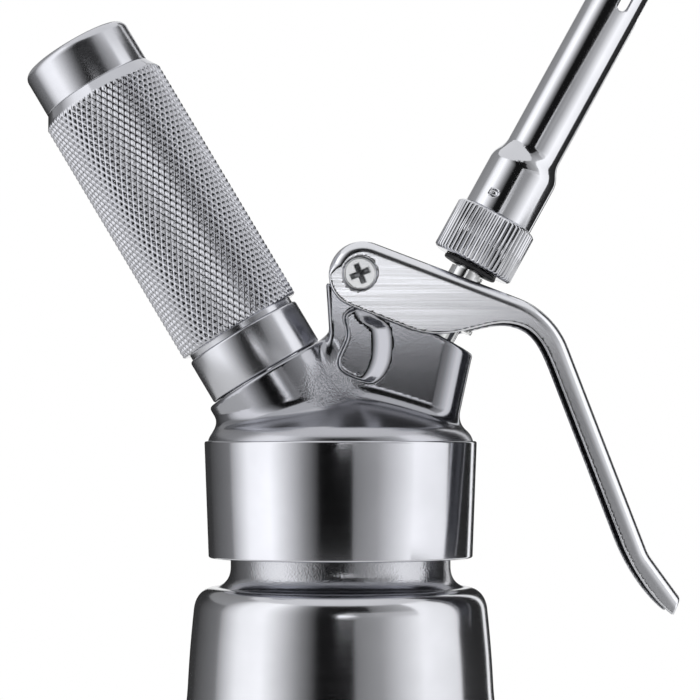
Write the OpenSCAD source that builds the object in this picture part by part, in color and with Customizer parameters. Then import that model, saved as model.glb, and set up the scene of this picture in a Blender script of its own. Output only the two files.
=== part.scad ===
// Whipped cream dispenser, about half a litre: a steel bottle, a cast head with a squeeze lever,
// a knurled holder for one 8 g gas charger and a long slotted nozzle.
// Millimetres. Z is up, the origin is the centre of the bottle's base, and the lever side is +X.

/* [Bottle] */
// Outer radius of the bottle's body
body_r = 42; // [40:0.5:46]
// Radius of the round edge between the base and the wall
base_edge_r = 11; // [6:0.5:14]
// Thickness of the drawn steel wall
bottle_wall = 1.2; // [0.8:0.1:2]
// Height of the hollow under the base
base_hollow = 2.5; // [1:0.5:4]
// Height at which the wall starts to draw in
waist_start_z = 92; // [80:1:100]
// Radius just above the waist
waist_r = 38; // [37:0.25:40]
// Height just above the waist
waist_z = 127; // [118:1:132]
// Radius of the shoulder's crest
crest_r = 36.6; // [36:0.1:37.5]
// Height of the shoulder's crest
crest_z = 145; // [142:0.5:147]
// Height at which the neck starts
neck_start_z = 156; // [154:0.5:157]
// Outer radius of the threaded neck
neck_r = 27.4; // [26:0.1:28]
// Height of the neck's rim
neck_top_z = 183; // [180:0.5:186]
// Wall of the thick rolled neck
neck_wall = 2.2; // [1.6:0.1:3]

/* [Head] */
// Thickness of the silicone ring between the neck and the head
gasket_t = 3.1; // [2:0.1:4]
// Inner radius of the silicone ring
gasket_in_r = 21.5; // [20:0.1:23]
// Height of the threaded collar
collar_h = 29; // [26:0.5:32]
// Radius of the collar at its top
collar_top_r = 34; // [33:0.1:36]
// Radius of the collar at its lower edge
collar_low_r = 32.9; // [32:0.1:34]
// Room for the thread between the collar and the neck
collar_gap = 0.6; // [0.4:0.1:1]
// Metal above the silicone ring, up to the collar's top edge
ceiling_t = 1.2; // [1:0.1:2]
// Radius at which the dome starts
dome_r = 30; // [28:0.5:31]
// Height of the round shoulder under the dome
dome_step_h = 3.5; // [3:0.1:5]
// Height of the dome's cone over that shoulder
dome_h = 10.8; // [9:0.1:13]
// Radius of the hollow under the dome
hollow_r = 20; // [18:0.5:21]
// Height of the hollow under the dome
hollow_h = 2.7; // [2:0.1:4]
// Thickness of the block that carries the lever and the valve
block_t = 16.8; // [15:0.1:17]

/* [Charger side] */
// Lean of the charger's axis to the left, from upright
charger_lean = 30.85; // [28:0.05:34]
// Distance of the boss's face centre to the left of the bottle's axis
boss_x = 18.3; // [17:0.1:20]
// Height of the boss's face centre over the collar's top edge
boss_h = 17; // [16:0.1:19]
// Radius of the boss
boss_r = 16.9; // [16:0.1:18]
// Radius of the threaded stub on the boss
stub_r = 13.1; // [12:0.1:13.4]
// Height of the threaded stub
stub_h = 10; // [8:0.5:11]
// Radius of the gas charger
charger_r = 9; // [8.8:0.1:9.1]
// Length of the gas charger
charger_len = 66; // [62:0.5:67]
// Radius of the charger's neck
charger_neck_r = 4.3; // [4:0.1:4.6]
// Wall of the charger's pressed body
charger_wall = 1.8; // [1:0.1:2.2]
// Radius of the piercing pin
pin_r = 1.1; // [0.8:0.1:1.3]
// Radius of the cartridge that holds the pin
cartridge_r = 4.5; // [4:0.1:4.6]
// Length of that cartridge
cartridge_len = 10; // [8:0.5:11]
// Radius of the holder's smooth ring
ring_r = 15.2; // [14.8:0.1:15.6]
// Length of the holder's smooth ring
ring_len = 11.8; // [11:0.1:13]
// Width of the groove between the ring and the grip
groove_w = 1.3; // [0.8:0.1:2]
// Radius of the knurled grip
grip_r = 16.2; // [15.8:0.1:17]
// Length of the knurled grip
grip_len = 69.8; // [66:0.1:72]
// Radius of the holder's inner tube
tube_r = 12.4; // [11.8:0.1:13]
// Radius of the smooth end cap
cap_r = 14.3; // [13:0.1:15]
// Length of the smooth end cap
cap_len = 11.8; // [9:0.1:14]

/* [Valve side] */
// Lean of the nozzle's axis to the right, from upright
nozzle_lean = 28.8; // [27:0.1:31]
// Distance of the tower's face centre to the right of the bottle's axis
tower_x = 23.3; // [22:0.1:24.5]
// Height of the tower's face centre over the collar's top edge
tower_h = 26.9; // [25.5:0.1:28]
// Distance from the nozzle's axis to the tower's outer corner
tower_reach = 11.4; // [11:0.1:12.5]
// Radius of the hollow valve stem
stem_r = 4.3; // [4:0.1:4.5]
// Radius of the passage through the stem
stem_bore_r = 2.6; // [2:0.1:2.9]
// Radial running clearance of the stem in the tower
stem_clear = 0.08; // [0.05:0.01:0.1]
// Depth of the valve seat under the tower's face
seat_depth = 24; // [22:0.5:25]
// Radius of the rubber valve seal
seal_r = 7.2; // [6.5:0.1:7.4]
// Thickness of the rubber valve seal
seal_t = 2; // [1.5:0.1:2.5]
// Depth of the spring's pocket in the tower
spring_pocket = 9; // [8:0.5:10]
// Radius of the spring's wire
wire_r = 0.45; // [0.4:0.05:0.5]
// Number of the spring's turns
spring_turns = 4; // [3:1:4]
// Radius of the push sleeve's flange
flange_r = 8.35; // [8:0.05:8.4]
// Height of the flange over the tower
flange_h = 3.8; // [3.2:0.1:4]
// Thickness of the flange
flange_t = 1.2; // [1:0.1:1.6]
// Radius of the push sleeve above its flange
sleeve_r = 7; // [6:0.1:7.2]

/* [Nozzle] */
// Distance from the lever's web to the nozzle nut, along the nozzle's axis
nut_over_web = 4.1; // [3.4:0.1:5]
// Radius over the nut's flutes
nut_r = 10.6; // [10:0.1:11.2]
// Length of the nut
nut_len = 13.6; // [12:0.1:15]
// Number of the nut's flutes
nut_flutes = 48; // [36:2:60]
// Depth of one flute
flute_d = 0.6; // [0.4:0.1:0.8]
// Radius of the threaded adapter inside the nut
adapter_r = 6.6; // [6:0.1:6.8]
// Length of the threaded adapter
adapter_len = 10.2; // [8:0.1:11]
// Thickness of the black ring under the nut
ring_seal_t = 1.3; // [1:0.1:1.5]
// Radius of the black ring under the nut
ring_seal_r = 7.1; // [6.8:0.1:7.6]
// Radius of the nozzle's wide base
nozzle_base_r = 9; // [8.6:0.1:9.6]
// Length of the nozzle's wide base
nozzle_base_len = 13.9; // [12:0.1:16]
// Length of the taper above the base
nozzle_taper = 4.1; // [3:0.1:6]
// Radius of the nozzle's tube
nozzle_r = 7.1; // [6.8:0.1:7.6]
// Wall of the nozzle's tube
nozzle_wall = 1.1; // [0.8:0.1:1.4]
// Length of the nozzle over the nut
nozzle_len = 80; // [74:1:90]
// Length of the slits at the nozzle's tip
slit_len = 19.3; // [14:0.1:24]
// Width of one slit
slit_w = 2.8; // [2:0.1:3.2]
// Number of slits
slit_count = 5; // [4:1:6]

/* [Lever] */
// Width of the lever's channel
lever_w = 20.8; // [20.6:0.1:22]
// Thickness of the lever's sheet
sheet = 1.6; // [1.2:0.1:1.8]
// Outer radius of the bends between the web and the cheeks
bend_r = 3; // [2.4:0.1:3.6]
// Distance of the pivot to the right of the bottle's axis
pivot_x = 4.8; // [4:0.1:5.6]
// Height of the pivot over the collar's top edge
pivot_h = 41.3; // [40.5:0.1:42.5]
// Radius of the lever's round nose
nose_r = 8.4; // [8:0.1:9]
// Slope of the lever's top, below level
top_slope = 20.9; // [19:0.1:22]
// Length of the lever's straight top
top_len = 38.1; // [36:0.1:42]
// Outer radius of the bend between the top and the handle
knee_r = 21.2; // [19:0.1:24]
// Slope of the handle, below level
handle_slope = 69; // [66:0.1:72]
// Length of the straight handle
handle_len = 53.4; // [48:0.5:62]
// Depth of the handle's cheeks
cheek_d = 5.2; // [4.6:0.1:6.5]
// Depth of the cheeks' belly below the pivot
belly_d = 12.2; // [11.5:0.1:13]
// Slope of the flared tip, below level
tip_slope = 54; // [50:0.5:60]
// Length of the flared tip
tip_len = 12; // [9:0.5:16]
// Radius of the pivot screw's head
screw_head_r = 4; // [3.6:0.1:4.4]
// Radius of the pivot barrel
barrel_r = 3; // [2.6:0.1:3.2]

/* [Hidden] */
// Gap left between faces that seat on each other across a moving fit
seat_gap = 0.1;
// Radial clearance of pieces that turn on each other
turn_gap = 0.05;
// Radial clearance of threads drawn smooth
thread_gap = 0.4;
// Overlap that joins the forms of one solid, and clears a cut's open end
over = 0.5;
$fn = 96;

gasket_z = neck_top_z + seat_gap;
ceiling_z = gasket_z + gasket_t + seat_gap;
collar_z = ceiling_z + ceiling_t - 0.2;
collar_low_z = collar_z - collar_h;
bore_r = neck_r + collar_gap;
dome_low_z = collar_z + dome_step_h;
hollow_z = ceiling_z + hollow_h;
boss_z = collar_z + boss_h;
tower_z = collar_z + tower_h;
pivot_z = collar_z + pivot_h;

// Groove of the round seal on the stem.
o_ring_wire_r = 0.77;
o_ring_z = -spring_pocket - 3.8;
groove_r = stem_r + 2 * o_ring_wire_r + 0.06;
groove_h = 2.4;

// ---- Curves -------------------------------------------------------------------------------

// Points of a cubic curve from a to d with the handles b and c, without its first point.
function cubic(a, b, c, d, steps = 10) =
    [for (i = [1:steps]) let (t = i / steps, u = 1 - t)
        u * u * u * a + 3 * u * u * t * b + 3 * u * t * t * c + t * t * t * d];

// Points of an arc from angle a0 to angle a1.
function arc(centre, r, a0, a1, steps = 8) =
    [for (i = [0:steps]) centre + r * [cos(a0 + (a1 - a0) * i / steps), sin(a0 + (a1 - a0) * i / steps)]];

// Smooth closed curve through a ring of points, with this many steps from each to the next.
function closed_curve(p, steps = 5) =
    let (n = len(p))
    [for (i = [0:n - 1], k = [0:steps - 1])
        let (a = p[(i + n - 1) % n], b = p[i], c = p[(i + 1) % n], d = p[(i + 2) % n], t = k / steps)
        0.5 * (2 * b + (c - a) * t + (2 * a - 5 * b + 4 * c - d) * t * t
            + (3 * b - a - 3 * c + d) * t * t * t)];

// Turns its children from upright onto the charger's axis, with 0 at the boss's face.
module on_charger_axis() {
    translate([-boss_x, 0, boss_z]) rotate([0, -charger_lean, 0]) children();
}

// Turns its children from upright onto the nozzle's axis, with 0 at the tower's face.
module on_nozzle_axis() {
    translate([tower_x, 0, tower_z]) rotate([0, nozzle_lean, 0]) children();
}

// Plain ring or tube standing on z.
module ring(outer_r, inner_r, h, z = 0) {
    translate([0, 0, z]) difference() {
        cylinder(r = outer_r, h = h);
        translate([0, 0, -over]) cylinder(r = inner_r, h = h + 2 * over);
    }
}

// Prism across the part, from an outline drawn with x to the right and y up.
module across(width) {
    rotate([90, 0, 0]) linear_extrude(height = width, center = true) children();
}

// ---- Bottle and head ----------------------------------------------------------------------

// Side of the bottle from the base's edge to the neck, moved inwards by the wall.
function bottle_side(inset) =
    let (r = body_r - inset, w = waist_r - inset, c = crest_r - inset, n = neck_r - inset)
    concat(
        arc([body_r - base_edge_r, base_edge_r], base_edge_r - inset, -90, 0),
        [[r, waist_start_z]],
        cubic([r, waist_start_z], [r, waist_start_z + 16], [w + 0.6, waist_z - 12], [w, waist_z]),
        cubic([w, waist_z], [w - 0.4, waist_z + 8], [c + 0.5, crest_z - 5], [c, crest_z], 5),
        cubic([c, crest_z], [c - 0.3, crest_z + 4.5], [c - 3, crest_z + 6 - inset], [n + 3.4, crest_z + 6 - inset], 8),
        cubic([n + 3.4, crest_z + 6 - inset], [n + 1.6, crest_z + 6.6], [n, neck_start_z - 3],
            [n, neck_start_z], 6));

module bottle() {
    inner = bottle_side(bottle_wall);
    floor_r = body_r - base_edge_r;
    hollow_edge = base_hollow * 2;
    color("#c9ccd0") rotate_extrude() polygon(concat(
        [[0, base_hollow], [floor_r - hollow_edge, base_hollow], [floor_r - 2, 0]],
        bottle_side(0),
        [[neck_r, neck_top_z - 0.6], [neck_r - 0.6, neck_top_z], [neck_r - neck_wall, neck_top_z]],
        [[neck_r - neck_wall, neck_start_z + 1]],
        [for (i = [len(inner) - 1:-1:0]) inner[i]],
        [[floor_r - 2, bottle_wall], [floor_r - hollow_edge, base_hollow + bottle_wall]],
        [[0, base_hollow + bottle_wall]]));
}

module head_gasket() {
    color("#b9bcbd") ring(bore_r - 0.3, gasket_in_r, gasket_t, gasket_z);
}

// Turned collar and dome in one, closed below by the ceiling over the silicone ring.
module collar_and_dome() {
    edge = 0.7;
    rotate_extrude() polygon(concat(
        [[hollow_r, hollow_z], [hollow_r, ceiling_z], [bore_r, ceiling_z], [bore_r, collar_low_z]],
        [[collar_low_r - edge, collar_low_z], [collar_low_r, collar_low_z + edge]],
        [[collar_top_r, collar_z - edge], [collar_top_r - edge, collar_z]],
        cubic([collar_top_r - edge, collar_z], [collar_top_r - edge, collar_z + 2],
            [dome_r + 1.5, dome_low_z - 0.6], [dome_r, dome_low_z], 6),
        [[2, dome_low_z + dome_h - 0.7], [0, dome_low_z + dome_h - 0.5], [0, hollow_z]]));
}

// Round boss that carries the charger's stub, with a small fillet where it rises from the dome.
module charger_boss() {
    foot = 14;
    on_charger_axis() {
        rotate_extrude() polygon([[0, -foot], [boss_r, -foot], [boss_r, -0.8], [boss_r - 0.8, 0],
            [stub_r, 0], [stub_r, stub_h - 1], [stub_r - 1, stub_h], [0, stub_h]]);
    }
}

// Side of the block: the lever's lug on the left and the valve's tower on the right.
module block_side() {
    lug_r = 6;
    lug_left = pivot_x - 8.4;
    lug_top = pivot_z - 2.8;
    face = [sin(90 + nozzle_lean), cos(90 + nozzle_lean)];
    tower = [tower_x, tower_z];
    polygon(concat(
        [[lug_left + 0.8, hollow_z + 1], [lug_left + 0.8, lug_top - 12], [lug_left, lug_top]],
        arc([pivot_x, pivot_z], lug_r, 207, 0, 14),
        [[pivot_x + lug_r + 1.5, pivot_z - 9]],
        [tower - 9 * face, tower + (tower_reach - 0.6) * face],
        [tower + tower_reach * face - 0.6 * [sin(nozzle_lean), cos(nozzle_lean)]],
        [[tower_x + 5, hollow_z + 1]]));
}

// Plan of the block: flat sides and a fully round outer end.
module block_plan() {
    end_x = tower_x + tower_reach * cos(nozzle_lean);
    union() {
        translate([-boss_x, -block_t / 2]) square([boss_x + end_x - block_t / 2, block_t]);
        translate([end_x - block_t / 2, 0]) circle(d = block_t);
    }
}

// Kidney-shaped hollow of the block's sides, as an outline on the block's face.
module pocket_side(grow = 0) {
    p = [[1.3, 31.3], [0.4, 24.5], [-0.9, 19.7], [1.4, 16.2], [8.3, 14.7], [11.8, 19.5], [12.2, 27], [8.8, 31.4]];
    middle = [5.5, 22.5];
    points = [for (q = p) let (d = q - middle) middle + d * (norm(d) + grow) / norm(d)];
    translate([0, collar_z]) polygon(closed_curve(points));
}

// Bores of the charger's side, along its axis: recess for the neck and seal, cartridge, valve, duct.
module gas_bores() {
    on_charger_axis() {
        translate([0, 0, 1]) cylinder(r = charger_neck_r + 0.9, h = stub_h);
        translate([0, 0, 1 - cartridge_len]) cylinder(r = cartridge_r + turn_gap, h = cartridge_len + over);
        translate([0, 0, -1.5 - cartridge_len]) cylinder(r = cartridge_r - 0.4, h = 3);
        translate([0, 0, -3 * cartridge_len]) cylinder(r = 1.5, h = 2.5 * cartridge_len);
    }
}

// Bores of the valve's side: spring pocket, stem bore, groove of the round seal, seat and its well.
module valve_bores() {
    on_nozzle_axis() {
        translate([0, 0, -spring_pocket]) cylinder(r = 6.1, h = spring_pocket + over);
        translate([0, 0, -seat_depth - over]) cylinder(r = stem_r + stem_clear, h = seat_depth);
        translate([0, 0, o_ring_z - groove_h / 2]) cylinder(r = groove_r, h = groove_h);
        translate([0, 0, -seat_depth - 20]) cylinder(r = seal_r + 0.9, h = 20);
    }
}

module head() {
    pocket_d = 3.4;
    below = hollow_z + 40;
    color("#b4b7ba") difference() {
        union() {
            collar_and_dome();
            difference() {
                union() {
                    charger_boss();
                    intersection() {
                        across(block_t) block_side();
                        linear_extrude(height = pivot_z + 20) block_plan();
                    }
                }
                translate([0, 0, hollow_z - below]) cylinder(r = collar_top_r + 20, h = below);
            }
        }
        for (side = [-1, 1])
            translate([0, side * (block_t / 2 + (over - pocket_d) / 2), 0])
                across(pocket_d + over) pocket_side();
        gas_bores();
        valve_bores();
        translate([pivot_x, 0, pivot_z]) rotate([90, 0, 0])
            cylinder(r = barrel_r + turn_gap, h = block_t + 2, center = true);
    }
}

// ---- Charger side -------------------------------------------------------------------------

cartridge_top = 1;
seal_ring_t = 1.6;
charger_low = cartridge_top + seal_ring_t + 0.3;
charger_top = charger_low + charger_len;
holder_low = 0.3;
grip_low = holder_low + ring_len + groove_w;
grip_top = grip_low + grip_len;
holder_bore_r = charger_r + 0.4;
holder_floor = charger_top + 0.3;

module pin_holder() {
    color("#b59a54") on_charger_axis() difference() {
        translate([0, 0, cartridge_top - cartridge_len]) cylinder(r = cartridge_r, h = cartridge_len - seat_gap);
        translate([0, 0, cartridge_top - cartridge_len + 2]) cylinder(r = pin_r, h = cartridge_len);
        translate([cartridge_r - 1.8, 0, -cartridge_len]) cylinder(r = 0.7, h = 2 * cartridge_len);
    }
}

module piercing_pin() {
    tip = 2;
    low = cartridge_top - cartridge_len + 2;
    color("#8f9296") on_charger_axis() translate([0, 0, low]) {
        cylinder(r = pin_r, h = cartridge_len - 2 + 2.4);
        translate([0, 0, cartridge_len - 2 + 2.4]) cylinder(r1 = pin_r, r2 = 0.2, h = tip);
    }
}

module charger_seal() {
    color("#2a2a2c") on_charger_axis() ring(charger_neck_r + 0.8, pin_r + 0.9, seal_ring_t, cartridge_top);
}

module check_valve() {
    color("#d9d6cf") on_charger_axis()
        translate([0, 0, cartridge_top - cartridge_len - 1.3]) cylinder(r = cartridge_r - 0.8, h = 1.2);
}

// Pressed steel bulb with its pierced neck towards the pin.
module charger() {
    neck_len = 7;
    shoulder = 9;
    inner_r = charger_r - charger_wall;
    far = charger_top;
    low = charger_low;
    color("#9da1a5") on_charger_axis() rotate_extrude() polygon(concat(
        [[pin_r + 0.3, low], [charger_neck_r - 0.4, low], [charger_neck_r, low + 0.4]],
        [[charger_neck_r, low + neck_len]],
        cubic([charger_neck_r, low + neck_len], [charger_neck_r + 0.6, low + neck_len + 4],
            [charger_r, low + neck_len + shoulder - 5], [charger_r, low + neck_len + shoulder], 8),
        cubic([charger_r, far - 6], [charger_r, far - 2], [6, far], [0, far], 8),
        [[0, far - charger_wall]],
        cubic([0, far - charger_wall], [4, far - charger_wall], [inner_r, far - 4], [inner_r, far - 8], 6),
        cubic([inner_r, low + neck_len + shoulder], [inner_r, low + neck_len + shoulder - 4],
            [2.6, low + neck_len + 4], [2.6, low + neck_len], 6),
        [[2.6, low + 1.4], [pin_r + 0.3, low + 1.4]]));
}

// Inner cup of the holder, with the smooth ring at its threaded mouth and a socket for the cap.
module holder_shell() {
    thread_r = stub_r + thread_gap;
    mouth_top = holder_low + ring_len;
    socket_r = tube_r - 2.4;
    socket_floor = holder_floor + 4;
    edge = 0.5;
    color("#c4c7ca") on_charger_axis() difference() {
        rotate_extrude() polygon([[0, holder_low], [ring_r - edge, holder_low], [ring_r, holder_low + edge],
            [ring_r, mouth_top - edge], [ring_r - edge, mouth_top], [ring_r - 0.7, mouth_top],
            [ring_r - 0.7, grip_low], [tube_r, grip_low], [tube_r, grip_top - seat_gap],
            [0, grip_top - seat_gap]]);
        translate([0, 0, holder_low - over]) cylinder(r = thread_r, h = stub_h + 1.2 + over);
        translate([0, 0, holder_low + stub_h + 1.2 - 0.01])
            cylinder(r1 = thread_r, r2 = holder_bore_r, h = thread_r - holder_bore_r - 1.5);
        translate([0, 0, holder_low]) cylinder(r = holder_bore_r, h = holder_floor - holder_low);
        translate([0, 0, socket_floor]) cylinder(r = socket_r, h = grip_top);
    }
}

// Grip sleeve slid over the inner cup; its diamond knurl is a surface finish.
module holder_grip() {
    chamfer = 1.9;
    low_edge = 0.6;
    color("#a9acb0") on_charger_axis() rotate_extrude() polygon([
        [tube_r + turn_gap, grip_low], [grip_r - low_edge, grip_low], [grip_r, grip_low + low_edge],
        [grip_r, grip_top - 3.2], [grip_r - chamfer, grip_top], [tube_r + turn_gap, grip_top]]);
}

// Smooth end cap screwed into the cup's socket.
module holder_cap() {
    spigot_r = tube_r - 2.4 - turn_gap;
    round_r = 2;
    top = grip_top + cap_len;
    color("#c4c7ca") on_charger_axis() rotate_extrude() polygon(concat(
        [[0, holder_floor + 4 + seat_gap], [spigot_r, holder_floor + 4 + seat_gap], [spigot_r, grip_top]],
        [[cap_r - 0.3, grip_top], [cap_r, grip_top + 0.3]],
        arc([cap_r - round_r, top - round_r], round_r, 0, 90, 6),
        [[0, top]]));
}

// ---- Lever --------------------------------------------------------------------------------

// The lever's outer line: round nose, straight top, knee, handle and flared tip. Each entry holds
// a point, its outward normal and how far the bend's rounding reaches there, from 0 to 1.
pivot = [pivot_x, pivot_z];
nose_offset = [0.7, -0.2];
nose = pivot + nose_offset;
nose_start = 244;
web_start = 172;
flare_r = 10;
function heading(slope) = [cos(slope), -sin(slope)];
function outward(slope) = [sin(slope), cos(slope)];
top_end = nose + nose_r * outward(top_slope) + top_len * heading(top_slope);
knee = top_end - knee_r * outward(top_slope);
handle_start = knee + knee_r * outward(handle_slope);
handle_end = handle_start + handle_len * heading(handle_slope);
flare = handle_end + flare_r * outward(handle_slope);
tip_start = flare - flare_r * outward(tip_slope);
tip_end = tip_start + tip_len * heading(tip_slope);

function station(p, slope, round_share) = [p, outward(slope), round_share];
nose_steps = 16;
knee_steps = 10;
flare_steps = 3;
outer_line = concat(
    [for (i = [0:nose_steps]) let (a = nose_start + (90 - top_slope - nose_start) * i / nose_steps)
        station(nose + nose_r * [cos(a), sin(a)], 90 - a, a > web_start ? 0.15 : 1)],
    [for (i = [0:knee_steps]) let (s = top_slope + (handle_slope - top_slope) * i / knee_steps)
        station(knee + knee_r * outward(s), s, 1)],
    [for (i = [0:flare_steps]) let (s = handle_slope + (tip_slope - handle_slope) * i / flare_steps)
        station(flare - flare_r * outward(s), s, 1)],
    [station(tip_end, tip_slope, 1)]);

// Distance from the tower's face to the web, along the nozzle's axis: depth is measured down from
// the web's outer face, and side is the offset from the axis.
function web_at(depth, side = 0) =
    let (p = [tower_x, tower_z] + side * heading(nozzle_lean))
    (nose_r - depth - (p - nose) * outward(top_slope)) / (outward(nozzle_lean) * outward(top_slope));
web_out = web_at(0);
nut_base = web_out + nut_over_web;

// The cheeks' free edge, from the tip back to the nose, with the belly's bends set from the pivot.
belly_rise = [44.4, -belly_d - 0.9];
belly_end = [37, -belly_d];
belly_flat = [30, -belly_d + 0.6];
belly_dip = [23, -belly_d - 5];
belly_start = [12.5, -belly_d - 1.6];
tip_corner = tip_end - 3.6 * outward(tip_slope) - 0.6 * heading(tip_slope);
hollow_line = concat(
    [tip_corner],
    cubic(tip_corner, tip_start - cheek_d * outward(tip_slope) + 3 * heading(tip_slope),
        handle_end - cheek_d * outward(handle_slope) + 2 * heading(handle_slope),
        handle_end - cheek_d * outward(handle_slope) - 4 * heading(handle_slope), 5),
    cubic(handle_start - cheek_d * outward(handle_slope) + 9 * heading(handle_slope),
        handle_start - cheek_d * outward(handle_slope) - 2 * heading(handle_slope),
        pivot + belly_rise, pivot + belly_end, 8),
    cubic(pivot + belly_end, pivot + belly_flat, pivot + belly_dip, pivot + belly_start, 8));

// Triangles between the first n points of a ring and the rest of it, from both ends of the ring
// inwards, each time across the shorter way.
function ribbon(p, n, i, j) =
    i == n - 1 && j == n ? []
    : j == n || (i < n - 1 && norm(p[i + 1] - p[j]) < norm(p[i] - p[j - 1]))
        ? concat([[i, i + 1, j]], ribbon(p, n, i + 1, j))
        : concat([[i, j - 1, j]], ribbon(p, n, i, j - 1));

// Rounded body: the side outline in layers across the width, drawn in near both faces.
module lever_body() {
    steps = 5;
    n_outer = len(outer_line);
    side_n = n_outer + len(hollow_line);
    half = lever_w / 2;
    layer = concat(
        [for (k = [0:steps]) let (a = 90 * k / steps) [bend_r * (1 - sin(a)), -half + bend_r * (1 - cos(a))]],
        [for (k = [steps:-1:0]) let (a = 90 * k / steps) [bend_r * (1 - sin(a)), half - bend_r * (1 - cos(a))]]);
    points = [for (l = layer, i = [0:side_n - 1])
        let (s = outer_line[i], q = i < n_outer ? s[0] - s[1] * s[2] * l[0] : hollow_line[i - n_outer])
        [q[0], l[1], q[1]]];
    sides = [for (l = [0:len(layer) - 2], i = [0:side_n - 1])
        let (a = l * side_n + i, b = l * side_n + (i + 1) % side_n)
        each [[a, b + side_n, b], [a, a + side_n, b + side_n]]];
    last = (len(layer) - 1) * side_n;
    cap = ribbon(points, n_outer, 0, side_n - 1);
    polyhedron(points = points, faces = concat(
        cap, sides, [for (f = cap) [last + f[2], last + f[1], last + f[0]]]));
}

// Space inside the channel, open towards the bottle and under the nose.
module lever_hollow() {
    open = 4;
    inner = [for (s = outer_line) s[0] - sheet * s[1]];
    kept = [for (i = [0:len(inner) - 2]) if (outer_line[i][2] == 1) inner[i]];
    nose_gap = [nose[0] - nose_r - open, kept[0][1]];
    across(lever_w - 2 * sheet) polygon(concat(
        [nose_gap], kept,
        [tip_end - sheet * outward(tip_slope) - sheet * heading(tip_slope)],
        [tip_corner - sheet * heading(tip_slope) - open * outward(tip_slope)],
        [for (i = [3:len(hollow_line) - 1]) hollow_line[i] - [open * 0.6, open * 0.6]],
        [[nose_gap[0], pivot_z + belly_start[1]]]));
}

module lever() {
    slot_r = stem_r + 0.9;
    slot_shift = 1.6;
    slot_low = web_out - 8;
    color("#cfd1d4") difference() {
        lever_body();
        lever_hollow();
        translate([pivot_x, 0, pivot_z]) rotate([90, 0, 0])
            cylinder(r = screw_head_r + turn_gap, h = lever_w + 2, center = true);
        on_nozzle_axis() {
            for (shift = [-slot_shift, slot_shift])
                translate([shift, 0, slot_low]) cylinder(r = slot_r, h = 14);
            translate([-slot_shift, -slot_r, slot_low]) cube([2 * slot_shift, 2 * slot_r, 14]);
        }
    }
}

// The pivot is a screw and a barrel nut clamped on the lug; the cheeks turn on their heads.
module pivot_screw() {
    head_out = lever_w / 2 + 0.3;
    color("#8d9094") translate([pivot_x, 0, pivot_z]) rotate([90, 0, 0]) difference() {
        union() {
            translate([0, 0, block_t / 2 + turn_gap])
                cylinder(r = screw_head_r, h = head_out - block_t / 2 - turn_gap);
            translate([0, 0, -4]) cylinder(r = barrel_r - 1, h = block_t / 2 + 4 + over);
        }
        for (turn = [22, 112])
            translate([0, 0, head_out - 1.2]) rotate([0, 0, turn]) translate([-2.2, -0.5, 0]) cube([4.4, 1, 2]);
    }
}

module pivot_barrel() {
    head_out = lever_w / 2 + 0.3;
    color("#8d9094") translate([pivot_x, 0, pivot_z]) rotate([-90, 0, 0]) difference() {
        union() {
            translate([0, 0, block_t / 2 + turn_gap])
                cylinder(r = screw_head_r, h = head_out - block_t / 2 - turn_gap);
            translate([0, 0, -block_t / 2]) cylinder(r = barrel_r, h = block_t + over);
        }
        translate([0, 0, -block_t / 2 - over]) cylinder(r = barrel_r - 1 + turn_gap, h = block_t / 2 + 6);
    }
}

// ---- Valve --------------------------------------------------------------------------------

stem_top = nut_base - 2;
stem_tip_r = 3.4;
stem_tip_len = 8.4;
sleeve_edge = 0.6;
sleeve_top = web_at(sheet, sleeve_edge - sleeve_r) - 2 * seat_gap;
skirt_r = 5.5;

// Hollow stem: side ports above the seal, a threaded spigot for the nut below and the adapter above.
module valve_stem() {
    spigot_low = -seat_depth - seal_t - 3.6;
    spigot_r = 3;
    port_z = -seat_depth + 0.2;
    color("#c0c3c6") on_nozzle_axis() difference() {
        union() {
            translate([0, 0, -seat_depth]) cylinder(r = stem_r, h = seat_depth + stem_top);
            translate([0, 0, spigot_low]) cylinder(r = spigot_r, h = seal_t + 4);
            translate([0, 0, stem_top - over]) cylinder(r = stem_tip_r, h = stem_tip_len + over);
        }
        translate([0, 0, port_z]) cylinder(r = stem_bore_r, h = stem_top + stem_tip_len - port_z + over);
        for (turn = [0, 90])
            rotate([0, 0, turn]) translate([-stem_r - 1, -1.4, port_z]) cube([2 * stem_r + 2, 2.8, 1.7]);
    }
}

// Sleeve that the lever's web presses on; its skirt pushes the spring.
module push_sleeve() {
    low = -0.6;
    bore = stem_r + turn_gap;
    color("#a8abae") on_nozzle_axis() rotate_extrude() polygon([
        [bore, low], [skirt_r, low], [skirt_r, flange_h], [flange_r, flange_h],
        [flange_r, flange_h + flange_t], [sleeve_r, flange_h + flange_t + 0.4],
        [sleeve_r, sleeve_top - sleeve_edge], [sleeve_r - sleeve_edge, sleeve_top], [bore, sleeve_top]]);
}

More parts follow.
